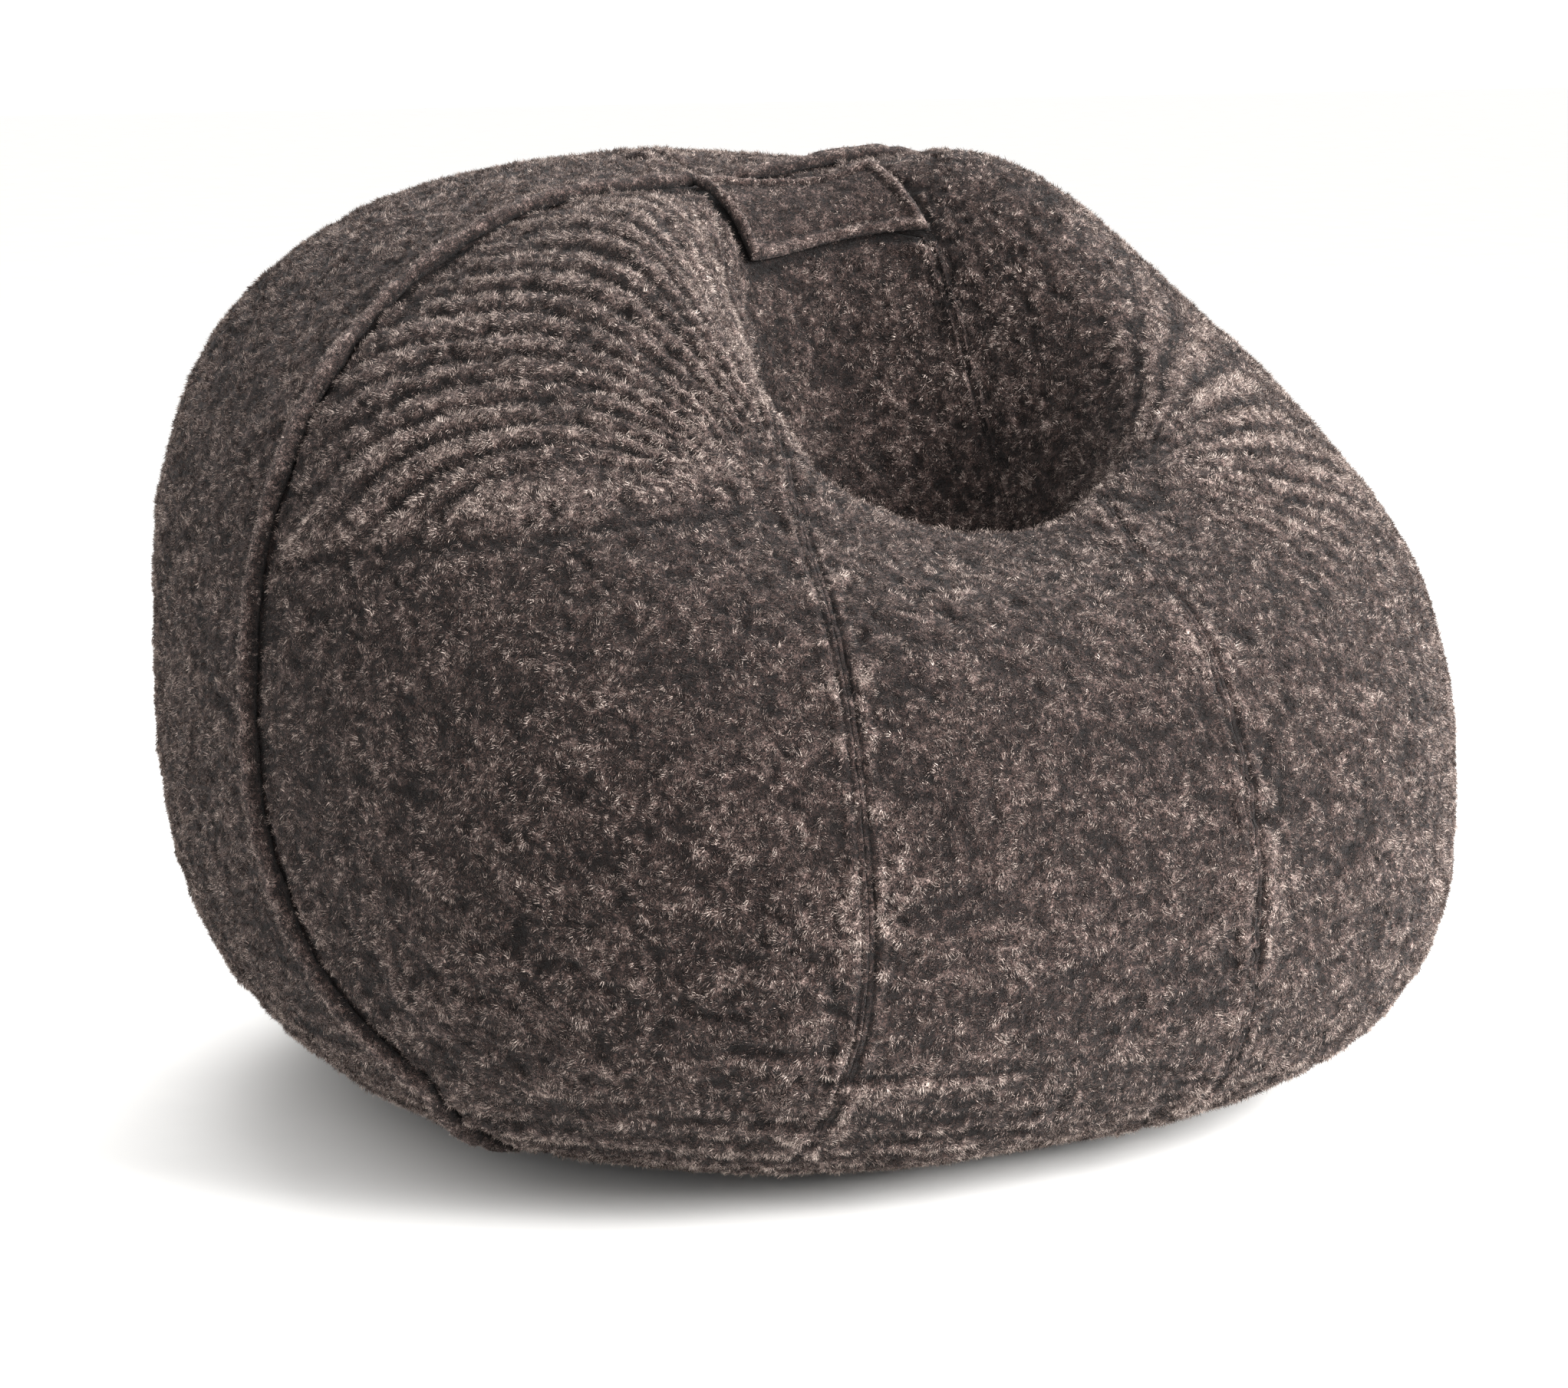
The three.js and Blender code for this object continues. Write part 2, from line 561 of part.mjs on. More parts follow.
function linerMeshes() {
  const meshes = PANELS.map((panel) => {
    const geometry = panelGeometry(panel, LINER_INSET, LINER_THICKNESS);
    return meshOf(`liner_panel_${panel.name}`, geometry, MATERIALS.linerCloth);
  });
  const bottom = LINER_ZIP.tapeBottom - PIECE_GAP - LINER_THICKNESS;
  for (const side of ["front", "back"]) {
    const inset = LINER_INSET + LINER_THICKNESS;
    const half = baseHalfGeometry(side === "front", LINER_ZIP, inset, bottom, LINER_THICKNESS);
    meshes.push(meshOf(`liner_base_${side}`, half, MATERIALS.linerCloth));
  }
  meshes.push(...zipMeshes("liner", LINER_ZIP));
  meshes.push(meshOf("liner_zip_slider", sliderGeometry(LINER_ZIP, false), MATERIALS.metal));
  return meshes;
}

const beanBagChair = new THREE.Group();
beanBagChair.add(...coverMeshes());
beanBagChair.add(...linerMeshes());
beanBagChair.add(meshOf("foam_fill", fillGeometry(), MATERIALS.foam));

// The origin lies on the floor, in the middle of the space that the chair takes up.
const space = new THREE.Box3().setFromObject(beanBagChair);
const centre = space.getCenter(new THREE.Vector3());
beanBagChair.position.set(-centre.x, -centre.y, -space.min.z);

export default beanBagChair;
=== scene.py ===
import math

import bpy
import numpy as np
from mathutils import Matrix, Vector
from mathutils.bvhtree import BVHTree


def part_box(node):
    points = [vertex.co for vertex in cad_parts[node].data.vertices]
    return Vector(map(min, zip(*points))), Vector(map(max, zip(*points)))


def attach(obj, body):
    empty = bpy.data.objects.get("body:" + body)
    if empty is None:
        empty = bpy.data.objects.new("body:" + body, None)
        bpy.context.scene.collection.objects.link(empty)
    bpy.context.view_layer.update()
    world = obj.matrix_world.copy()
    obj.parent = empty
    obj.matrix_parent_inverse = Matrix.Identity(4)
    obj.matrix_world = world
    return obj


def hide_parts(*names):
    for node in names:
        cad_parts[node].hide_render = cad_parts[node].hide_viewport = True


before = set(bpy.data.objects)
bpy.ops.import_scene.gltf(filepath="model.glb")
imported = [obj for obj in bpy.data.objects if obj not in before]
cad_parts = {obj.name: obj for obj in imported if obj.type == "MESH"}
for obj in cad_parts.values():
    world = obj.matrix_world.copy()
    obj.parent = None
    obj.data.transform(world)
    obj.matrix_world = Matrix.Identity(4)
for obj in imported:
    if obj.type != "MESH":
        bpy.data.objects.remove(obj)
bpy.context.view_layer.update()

# The bag's shape, as the frame has it
BAG_WIDTH = 1.5
BAG_DEPTH = 1.44
TOP_HEIGHT = 1.0
TOP_RISE = 0.075
BELLY_HEIGHT = 0.45
BELLY_RISE = 0.15
UNDERSIDE_DEPTH = 0.495
PLAN_POWER = 2.3
SHOULDER_POWER = 2.5
UNDERSIDE_POWER = 3
CROWN_Y = 0.235
SEAT = {"x": 0.045, "y": -0.16, "left": 0.195, "right": 0.225, "back": 0.24, "front": 0.18, "depth": 0.42}
SEAT_POWER = 1.8
SEAT_RIM = (0.4, 0.75)
SWELLS = {  # middle, reach and rise
    "right arm": (0.45, -0.27, 0.24, 0.24, -0.035),
    "right of the back": (0.3, 0.09, 0.16, 0.19, 0.08),
    "left arm": (-0.23, -0.03, 0.15, 0.17, 0.045),
    "front lip": (0, -0.43, 0.33, 0.16, -0.115),
    "corner of the seat": (-0.08, -0.3, 0.08, 0.06, -0.09),
    "inside of the left arm": (-0.11, -0.06, 0.06, 0.12, 0.09),
    "back of the crown": (0.05, 0.46, 0.6, 0.24, 0.032),
    "right shoulder": (0.465, 0.07, 0.12, 0.15, 0.024),
}
SWELL_FADE = (0.1, 0.95)
SEAMS = {  # angle, bend, and the shares of the way between which it bends
    "left": (-80, 18, 0.85, 1.5),
    "front_left": (-23, -14, 1, 2),
    "front_right": (13, 39, 0.73, 0.28),
    "right": (100, 0, 1, 2),
    "back": (185, 0, 1, 2),
}
PANELS = {
    "front_left": ("left", "front_left"),
    "front": ("front_left", "front_right"),
    "front_right": ("front_right", "right"),
    "back_right": ("right", "back"),
    "back_left": ("back", "left"),
}
RIDGES = ("left", "right")

# The plush cover
PILE_DEPTH = 0.004  # the knitted backing lies this far under the tips of the pile
DEEPEST_FOLD = 0.0045  # and no fold of it sinks further than this below that
LINING_DEPTH = 0.0105
CROWN_START = 0.012  # the panels start this share of the way out from the crown
CELL = 0.006  # spacing of the cover's mesh
SEAM_CELL = 0.0024  # and beside a seam
SEAM_BAND = 0.026
LINING_STEP = 4  # a sheet's inside has a cell for every 4 by 4 outside
# Rows of a panel, in shares of the way: from, to and spacing
ROWS = ((CROWN_START, 0.15, 0.0075), (0.15, 0.72, 0.0043), (0.72, 1, 0.0066), (1, 2, 0.0118))
NEEDLE_GAP = 0.013  # between the two lines of twin-needle stitching
TUFT_AREA = 27e-6  # square metres of cover to each tuft
TUFT_BLADES = 5
TUFT_RADIUS = 0.0024
BLADE_LENGTH = 0.0068
BLADE_WIDTH = 0.0011
LOCK_SIZE = 0.03  # the pile's lay turns over about this far
PILE_LAY = 1.5  # and lies over this much for each part that it stands up
RIDGE_LAY = 1.1
ROOT_TIP = 0.12  # how near the backing's colour is to that of the tips
FOLDED_TIP = 0.2  # and on a folded edge
PLEATS = (  # height, middle, first and last turn, curl, number, near and far reach
    (0.0095, (-0.235, -0.47), -52, 46, 38, 19, 0.1, 0.74),
    (0.009, (0.19, -0.38), 30, 140, 20, 13, 0.06, 0.5),
)

# Ridge seams and crown patch
RIDGE_WIDTH = 0.023
RIDGE_HEIGHT = 0.0135
PATCH_LEFT = -0.038
PATCH_WIDTH = 0.226
PATCH_TURN = -12  # degrees
PATCH_REACH = 0.1
PATCH_ARCH = 0.032  # the middle of its bottom edge reaches this much less
PATCH_SLIP = 0.045  # its bottom edge lies this far to the right of its top edge
PATCH_GAP_TO_CROWN = 0.016
PATCH_THICKNESS = 0.006
PATCH_LIFT = 0.0035

# Liner, filling and zips
LINER_INSET = 0.0125
LINER_THICKNESS = 0.0012
FILL_INSET = 0.02
COIL_PITCH = 0.002
COIL_WIRE = 0.00042
COIL_WIDTH = 0.0042
COIL_HEIGHT = 0.0021
COIL_LEAN = 0.0003
COIL_REACH = 0.00055  # each coil sits this much nearer to the other than its cord does
SLOT_ROOM = 0.0325  # the base's slot runs this far past each end of the tapes
SLOT_WIDTH = 0.0121  # and this far to each side of the base's seam
TAPE_END = 0.034  # each tape runs on past the zip and closes the end of its slot
TAPE_LAP = 0.0017  # and in behind the coils this far
STITCH_LENGTH = 0.0035
HEM_STITCHES = 0.0085
HEM = np.array([0, 0.0012, 0.003, 0.007, HEM_STITCHES, 0.01, 0.013])  # places across a base's hem
WELD_GAP = 1e-5
UNDERSIDE = 0.001  # plush that rests on the floor is pressed flat this high

# Camera and lights
CAMERA_AZIMUTH = -28
CAMERA_ELEVATION = 10.1
CAMERA_DISTANCE = 4.5
CAMERA_TARGET = (0, 0, 0.5)
LENS = 86.9
LENS_SHIFT = (-0.0137, -0.0311)
LIGHT_TARGET = (0, 0, 0.45)
LIGHTS = {"key": ((2.7, -3.8, 2.3), 2.4, 530), "top": ((0.3, 2.6, 3), 2.4, 120)}  # place, size and power
FLOOR_HALF = 30
FLOOR_Z = -0.0005


# ---- colours and nodes

def linear(colour):
    """An sRGB hex colour as linear red, green, blue and alpha."""
    channels = [int(colour[i:i + 2], 16) / 255 for i in (1, 3, 5)]
    return [c / 12.92 if c <= 0.04045 else ((c + 0.055) / 1.055) ** 2.4 for c in channels] + [1.0]


def node(tree, kind, inputs=None, **settings):
    """Adds a node with its settings. inputs holds a value or another node's output for each socket."""
    made = tree.nodes.new(kind)
    for name, value in settings.items():
        setattr(made, name, value)
    for key, value in (inputs or {}).items():
        if isinstance(key, int):
            socket = made.inputs[key]
        else:
            socket = next(s for s in made.inputs if s.name == key and s.enabled)
        if isinstance(value, bpy.types.NodeSocket):
            tree.links.new(value, socket)
        else:
            socket.default_value = value
    return made


def ramp(tree, factor, stops):
    """A colour ramp from a list of (place, sRGB hex colour)."""
    made = node(tree, "ShaderNodeValToRGB", {"Fac": factor})
    elements = made.color_ramp.elements
    while len(elements) < len(stops):
        elements.new(0.5)
    for element, (place, colour) in zip(elements, stops):
        element.position = place
        element.color = linear(colour)
    return made.outputs["Color"]


def new_material(name):
    """A material, its empty tree, and the place on the object for its textures."""
    material = bpy.data.materials.new(name)
    material.use_nodes = True
    tree = material.node_tree
    tree.nodes.clear()
    return material, tree, node(tree, "ShaderNodeTexCoord").outputs["Object"]


def cloudy(tree, place, scale, detail, **values):
    """Noise from 0 to 1, at this many features to the metre."""
    inputs = {"Vector": place, "Scale": scale, "Detail": detail} | values
    return node(tree, "ShaderNodeTexNoise", inputs).outputs["Fac"]


def finish_material(tree, colour, height=None, bump=0.001, **values):
    """Ends a material in one Principled shader. values are its own plain settings."""
    shader = node(tree, "ShaderNodeBsdfPrincipled")
    for name, value in values.items():
        shader.inputs[name.replace("_", " ")].default_value = value
    if isinstance(colour, bpy.types.NodeSocket):
        tree.links.new(colour, shader.inputs["Base Color"])
    else:
        shader.inputs["Base Color"].default_value = linear(colour)
    if height is not None:
        relief = node(tree, "ShaderNodeBump", {"Height": height, "Distance": bump, "Strength": 1.0})
        tree.links.new(relief.outputs["Normal"], shader.inputs["Normal"])
    node(tree, "ShaderNodeOutputMaterial", {"Surface": shader.outputs["BSDF"]})


def maths(tree, operation, a, b=0.0, c=0.0, clamped=False):
    return node(tree, "ShaderNodeMath", {0: a, 1: b, 2: c}, operation=operation, use_clamp=clamped).outputs[0]


# ---- materials

def brushed_plush():
    """Polyester faux-fur plush, crushed and heathered: charcoal roots, taupe tips and pale curled strands,
    with painted shade in the cloth's pits, valleys and seam grooves and painted highlights on its crests.
    """
    material, tree, place = new_material("brushed_plush")
    strands = 0.0
    # Pale strands run where the noise crosses its middle value
    for scale, strength in ((170, 1.0), (360, 0.95)):
        wisps = cloudy(tree, place, scale, 2, Distortion=1.4)
        off_line = maths(tree, "ABSOLUTE", maths(tree, "SUBTRACT", wisps, 0.5))
        strand = maths(tree, "MULTIPLY_ADD", off_line, -6.5 * strength, strength, clamped=True)
        strands = maths(tree, "MAXIMUM", strand, strands)
    light = maths(tree, "MULTIPLY_ADD", strands, 0.95, -0.67)
    # Painted light and shade: the last attribute lightens the crests of folds, ridges and hems and darkens
    # pits, valleys and grooves.
    for name, share in (("tip", 0.36), ("shade", 0.4), ("crest_painted_shade", 0.46)):
        value = node(tree, "ShaderNodeAttribute", attribute_name=name).outputs["Fac"]
        light = maths(tree, "MULTIPLY_ADD", value, share, light)
    locks = cloudy(tree, place, 80, 3, Roughness=0.6)
    light = maths(tree, "ADD", maths(tree, "SUBTRACT", locks, 0.5), light)
    colour = ramp(tree, light, [(0.16, "#120c0b"), (0.42, "#372b28"), (0.57, "#5c4b46"), (0.7, "#897670"),
                                (0.84, "#bca99f"), (1.0, "#e8d6cb")])
    finish_material(tree, colour, strands, 0.0015, Roughness=0.95, Sheen_Weight=0.08, Sheen_Roughness=0.4,
                    Specular_IOR_Level=0.2)
    return material


def woven(name, dark, bright, threads, roughness):
    """Plain-woven cloth: threads is the number of threads in a metre each way."""
    material, tree, place = new_material(name)
    across = node(tree, "ShaderNodeSeparateXYZ", {0: place})
    warp, weft = (maths(tree, "SINE", maths(tree, "MULTIPLY", across.outputs[axis], math.pi * threads))
                  for axis in "XY")
    over = maths(tree, "MULTIPLY_ADD", maths(tree, "MULTIPLY", warp, weft), 0.5, 0.5)
    slub = cloudy(tree, place, 160, 3)
    tone = maths(tree, "MULTIPLY_ADD", slub, 0.6, maths(tree, "MULTIPLY", over, 0.4))
    finish_material(tree, ramp(tree, tone, [(0.2, dark), (0.8, bright)]), over, 0.0005, Roughness=roughness,
                    Sheen_Weight=0.15, Specular_IOR_Level=0.3)
    return material


def bonded_cloth():
    """Spunbonded polypropylene liner: thin white felt pressed with a grid of small dots."""
    material, tree, place = new_material("spunbonded_liner")
    dots = node(tree, "ShaderNodeTexVoronoi", {"Vector": place, "Scale": 420}, feature="F1")
    pressed = maths(tree, "MULTIPLY", dots.outputs["Distance"], 1.4, clamped=True)
    fibre = cloudy(tree, place, 90, 4)
    tone = maths(tree, "MULTIPLY_ADD", fibre, 0.6, maths(tree, "MULTIPLY", pressed, 0.35))
    colour = ramp(tree, tone, [(0.2, "#bdb8ae"), (0.8, "#e4e0d8")])
    finish_material(tree, colour, pressed, 0.0004, Roughness=0.8)
    return material


def open_cell_foam():
    """Shredded polyurethane foam: crumbs of several pale colours with open cells."""
    material, tree, place = new_material("shredded_foam")
    crumbs = node(tree, "ShaderNodeTexVoronoi", {"Vector": place, "Scale": 42, "Randomness": 1.0})
    tint = node(tree, "ShaderNodeSeparateColor", {0: crumbs.outputs["Color"]})
    cells = cloudy(tree, place, 700, 2)
    gap = maths(tree, "MULTIPLY", crumbs.outputs["Distance"], 0.9)
    height = maths(tree, "MULTIPLY_ADD", cells, 0.25, maths(tree, "SUBTRACT", 1.0, gap))
    colour = ramp(tree, tint.outputs["Red"], [(0.0, "#cfd6dc"), (0.3, "#e9e0bd"), (0.6, "#d9c98f"),
                                              (0.85, "#b9c4b4"), (1.0, "#e6cfc4")])
    finish_material(tree, colour, height, 0.004, Roughness=1.0, Specular_IOR_Level=0.2)
    return material


def lacquered_zinc():
    """Die-cast zinc with a dark lacquer, worn brighter where it is touched."""
    material, tree, place = new_material("lacquered_zinc")
    grain = cloudy(tree, place, 1400, 3)
    wear = cloudy(tree, place, 260, 4, Roughness=0.7)
    colour = ramp(tree, wear, [(0.42, "#3b3937"), (0.62, "#6b6763"), (0.75, "#8d8882")])
    finish_material(tree, colour, grain, 0.00008, Roughness=0.38, Metallic=0.9)
    return material


def satin_ribbon():
    """Polyester satin care label: fine lengthways threads and a soft sheen."""
    material, tree, place = new_material("satin_ribbon")
    threads = node(tree, "ShaderNodeTexWave", {"Vector": place, "Scale": 500, "Distortion": 1.5},
                   wave_type="BANDS", bands_direction="Y")
    colour = ramp(tree, threads.outputs["Fac"], [(0.0, "#dad6cd"), (1.0, "#f4f2ec")])
    finish_material(tree, colour, threads.outputs["Fac"], 0.0002, Roughness=0.45, Sheen_Weight=0.3)
    return material


def mottled(name, scale, detail, stops, bump=None, **values):
    """A stuff whose colour wanders a little from place to place."""
    material, tree, place = new_material(name)
    clouds = cloudy(tree, place, scale, detail)
    finish_material(tree, ramp(tree, clouds, stops), clouds if bump else None, bump, **values)
    return material


# ---- the bag's surface

def smooth(low, high, value):
    """Rises smoothly from 0 at low to 1 at high."""
    way = np.clip((value - low) / (high - low), 0, 1)
    return way * way * (3 - 2 * way)


def bell(value, middle, reach):
    """A smooth hump, 1 at the middle."""
    return np.exp(-((value - middle) / reach) ** 2)


def round_turns(count):
    """Evenly spaced angles all the way round."""
    return np.linspace(0, 2 * math.pi, count, endpoint=False)


def zip_middle():
    """Where the frame puts the cover's zip, which is the middle of the bag's own plan."""
    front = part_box("cover_zip_tape_front")
    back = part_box("cover_zip_tape_back")
    return np.array([(front[0].x + front[1].x) / 2, (front[0].y + back[1].y) / 2, 0])


ORIGIN = zip_middle()


def belly_radius(angle):
    """How far the belly reaches from the middle of the bag's plan."""
    across = np.abs(np.sin(angle) / (BAG_WIDTH / 2)) ** PLAN_POWER
    along = np.abs(np.cos(angle) / (BAG_DEPTH / 2)) ** PLAN_POWER
    return (across + along) ** (-1 / PLAN_POWER)


def rounded(across, up, power):
    """How far a rounded outline reaches, from its shares across and up."""
    return (across ** power + up ** power) ** (-1 / power)


def cover_point(angle, share):
    """A point of the smooth cover. Share 0 is the crown, 1 the belly and 2 the floor."""
    radius = belly_radius(angle)
    rise = TOP_HEIGHT - BELLY_HEIGHT
    tilt = (1 - np.clip(share, 0, 1)) * math.pi / 2
    upper = rounded(np.cos(tilt) / radius, np.sin(tilt) / rise, SHOULDER_POWER)
    cut = (BELLY_HEIGHT / UNDERSIDE_DEPTH) ** UNDERSIDE_POWER
    floor_radius = radius * (1 - cut) ** (1 / UNDERSIDE_POWER)
    sink = np.clip(share - 1, 0, 1) * np.arctan2(BELLY_HEIGHT, floor_radius)
    lower = rounded(np.cos(sink) / radius, np.sin(sink) / UNDERSIDE_DEPTH, UNDERSIDE_POWER)
    above = share <= 1
    r = np.where(above, upper * np.cos(tilt), lower * np.cos(sink))
    z = BELLY_HEIGHT + np.where(above, upper * np.sin(tilt), -lower * np.sin(sink))
    upward = np.clip((z - BELLY_HEIGHT) / rise, 0, 1)
    x = r * np.sin(angle)
    y = -r * np.cos(angle) + CROWN_Y * upward ** 2
    lean = y / (BAG_DEPTH / 2)
    belly = BELLY_HEIGHT + BELLY_RISE * lean
    top = TOP_HEIGHT + TOP_RISE * lean
    height = np.where(z > BELLY_HEIGHT, belly + upward * (top - belly), z * belly / BELLY_HEIGHT)
    fade = smooth(*SWELL_FADE, height / TOP_HEIGHT)
    rim = smooth(*SEAT_RIM, height / TOP_HEIGHT)
    for middle_x, middle_y, reach_x, reach_y, lift in SWELLS.values():
        far = ((x - middle_x) / reach_x) ** 2 + ((y - middle_y) / reach_y) ** 2
        height = height + lift * np.exp(-far) * fade
    across = (x - SEAT["x"]) / np.where(x > SEAT["x"], SEAT["right"], SEAT["left"])
    along = (y - SEAT["y"]) / np.where(y > SEAT["y"], SEAT["back"], SEAT["front"])
    height = height - SEAT["depth"] * np.exp(-(across ** 2 + along ** 2) ** SEAT_POWER) * rim
    return np.stack([x, y, height], -1) + ORIGIN


def unit(vectors):
    return vectors / np.maximum(np.linalg.norm(vectors, axis=-1, keepdims=True), 1e-12)


def cover_frame(angle, share):
    """The way out of the smooth cover, and the way round it."""
    step = 1e-3
    low, high = np.maximum(share - step, 1e-4), np.minimum(share + step, 2)
    down = cover_point(angle, high) - cover_point(angle, low)
    around = cover_point(angle + step, share) - cover_point(angle - step, share)
    return unit(np.cross(down, around)), unit(around)


def seam_angle(name, share):
    """Where a seam runs at that share of the way from the crown to the floor."""
    angle, bend, straight, bent = SEAMS[name]
    way = np.clip((share - straight) / (bent - straight), 0, 1)
    return np.radians(angle + bend * way ** 2)


# ---- how the cloth lies: gathers, pleats and creases

def noise(points, size, seed):
    """Smooth noise from -1 to 1 with features of that size, the same on every run."""
    place = points / size
    cell = np.floor(place).astype(np.int64)
    part = place - cell
    part = part * part * (3 - 2 * part)
    total = np.zeros(points.shape[:-1])
    for corner in range(8):
        step = np.array([corner & 1, corner >> 1 & 1, corner >> 2])
        x, y, z = np.moveaxis(cell + step, -1, 0)
        mixed = (x * 73856093 ^ y * 19349663 ^ z * 83492791 ^ seed * 2654435761) & 0xFFFFFFFF
        mixed = (mixed ^ mixed >> 13) * 1274126177 & 0xFFFFFFFF
        mixed = (mixed ^ mixed >> 16) & 0xFFFFFF
        weight = np.prod(np.where(step, part, 1 - part), -1)
        total += weight * (mixed / 0x7FFFFF - 1)
    return total


def fan(points, middle, start, stop, curl, pleats, near, far):
    """Puffed pleats that spread from a pinch, seen from above, with tight valleys between them.

    Turns run in degrees from +Y towards +X, and curl is how far a pleat bends back in each metre."""
    offset = points[..., :2] - ORIGIN[:2] - middle
    reach = np.hypot(offset[..., 0], offset[..., 1])
    turn = np.degrees(np.arctan2(offset[..., 0], offset[..., 1])) + curl * reach
    wander = 1.5 * noise(points, 0.17, 11) + 0.6 * noise(points, 0.06, 12)
    wave = 2 * math.pi * pleats * (turn - start) / (stop - start) + wander
    puffs = 1.7 * np.abs(np.cos(wave / 2)) ** 0.7 - 1
    sides = smooth(start - 4, start + 16, turn) * (1 - smooth(stop - 10, stop + 4, turn))
    ends = smooth(near, 2 * near, reach) * (1 - smooth(0.5 * far, far, reach))
    return puffs * sides * ends * (0.8 + 0.5 * noise(points, 0.11, 13))


def billows(points):
    """The slow rise and fall of the loosely filled cover."""
    return 0.005 * noise(points, 0.2, 1) + 0.003 * noise(points, 0.085, 2)


def folds(points, angle, share):
    """Dimples, pleats and creases: how far the cloth stands out away from its seams."""
    height = 0.0018 * noise(points, 0.021, 3)
    pits = noise(points * (1, 1, 1.6), 0.0135, 4) + 0.3 * noise(points, 0.03, 5)
    height -= 0.0055 * smooth(0.1, 0.8, pits)
    height += 0.0011 * noise(points, 0.008, 6)
    ripples = noise(points * (1, 1, 3.5), 0.05, 10)
    height += 0.0022 * ripples * (1 - smooth(0.3, 0.7, points[..., 2]))
    upper = smooth(0.6, 0.72, points[..., 2])
    for rise, *pleats in PLEATS:
        height += rise * fan(points, *pleats) * upper
    degrees = np.degrees(angle)
    # The long crease across the left front, under the arm's roll
    crease = share - (0.62 + 0.0034 * (-23 - degrees)) - 0.012 * noise(points, 0.12, 7)
    window = smooth(-84, -74, degrees) * (1 - smooth(-32, -22, degrees))
    height -= 0.0065 * bell(crease, 0, 0.004) * window
    height += 0.0035 * bell(crease, -0.025, 0.018) * window
    # A short crease off the foot of the seam beside it
    crease = share - 1.335 - 0.0006 * (degrees + 25) - 0.006 * noise(points, 0.06, 14)
    window = smooth(-27, -25, degrees) * (1 - smooth(-14, -4, degrees))
    height -= 0.009 * bell(crease, 0, 0.0075) * window
    height += 0.005 * bell(crease, 0.03, 0.02) * window
    # Slack cloth crushed against the floor folds in flat creases
    low = smooth(1.38, 1.6, share) * (1 - smooth(1.9, 2, share))
    crushed = np.sin(share * 70 + 2.5 * noise(points, 0.13, 8)) * (0.5 + 0.5 * noise(points, 0.2, 9))
    return height + 0.0045 * low * crushed


def patch_place(points):
    """Where points lie on the crown patch: to the right along it and forward across it, from 0 to 1."""
    turn = math.radians(PATCH_TURN)
    x = points[..., 0] - ORIGIN[0] - PATCH_LEFT
    y = points[..., 1] - ORIGIN[1] - (CROWN_Y - PATCH_GAP_TO_CROWN)
    forward = x * math.sin(turn) - y * math.cos(turn)
    along = x * math.cos(turn) + y * math.sin(turn)
    reach = PATCH_REACH
    for _ in range(3):
        right = (along - PATCH_SLIP * forward / reach) / PATCH_WIDTH
        inside = np.clip(right, 0, 1)
        reach = PATCH_REACH - 4 * PATCH_ARCH * inside * (1 - inside)
    return right, forward / reach


def under_patch(points):
    """How far outside the crown patch's outline points lie, and less than 0 under it."""
    right, forward = patch_place(points)
    beside = (np.abs(right - 0.5) - 0.5) * PATCH_WIDTH
    before = (np.abs(forward - 0.5) - 0.5) * PATCH_REACH
    outside = np.hypot(np.maximum(beside, 0), np.maximum(before, 0))
    outside += np.minimum(np.maximum(beside, before), 0)
    return np.where(points[..., 2] > 0.8, outside, 1)


def seam_relief(distance, along, ridge, in_front):
    """How the cloth sinks and puckers beside a seam."""
    pucker = noise(np.stack([along, 0 * along, 0 * along + ridge], -1), 0.024, 21)
    height = 0.0034 * pucker * bell(distance, 0.022, 0.02)
    if ridge:
        sink = 0.011 if in_front else 0.004
        return height - sink * bell(distance - RIDGE_WIDTH / 2, 0.001, 0.004)
    height += 0.0025 * bell(distance, NEEDLE_GAP * 1.1, 0.007)
    stitched = 0.8 + 0.2 * np.cos(along * 2 * math.pi / (3 * STITCH_LENGTH))
    return height - 0.0046 * stitched * bell(distance, NEEDLE_GAP / 2, 0.0016)


# ---- meshes

def new_object(name, data):
    made = bpy.data.objects.new(name, data)
    bpy.context.scene.collection.objects.link(made)
    return made


def new_mesh(name, points, faces, material=None, attributes=None):
    """A smooth-shaded object with float attributes on its points."""
    mesh = bpy.data.meshes.new(name)
    if material:
        mesh.materials.append(material)
    mesh.from_pydata(points.tolist(), [], faces)
    for key, values in (attributes or {}).items():
        attribute = mesh.attributes.new(key, "FLOAT", "POINT")
        attribute.data.foreach_set("value", np.asarray(values, np.float32))
    mesh.shade_smooth()
    return new_object(name, mesh)


def grid_faces(rows, columns, start=0, flip=False, ring=False):
    """Quads over a grid of points, facing the side from which down and then across turn left."""
    across = np.arange(columns if ring else columns - 1)
    j, i = np.meshgrid(np.arange(rows - 1), across, indexing="ij")
    after = (i + 1) % columns
    corners = [j * columns + i, (j + 1) * columns + i, (j + 1) * columns + after, j * columns + after]
    quads = np.stack([c.ravel() + start for c in corners], -1)
    return quads[:, ::-1].tolist() if flip else quads.tolist()


def wall_faces(fine, coarse, step):
    """A wall between a fine edge and a coarse one that has a point for every step of the fine one."""
    faces = []
    for k in range(len(coarse) - 1):
        first = k * step
        faces += [[fine[first + i], coarse[k], fine[first + i + 1]] for i in range(step)]
        faces.append([coarse[k], coarse[k + 1], fine[first + step]])
    return faces


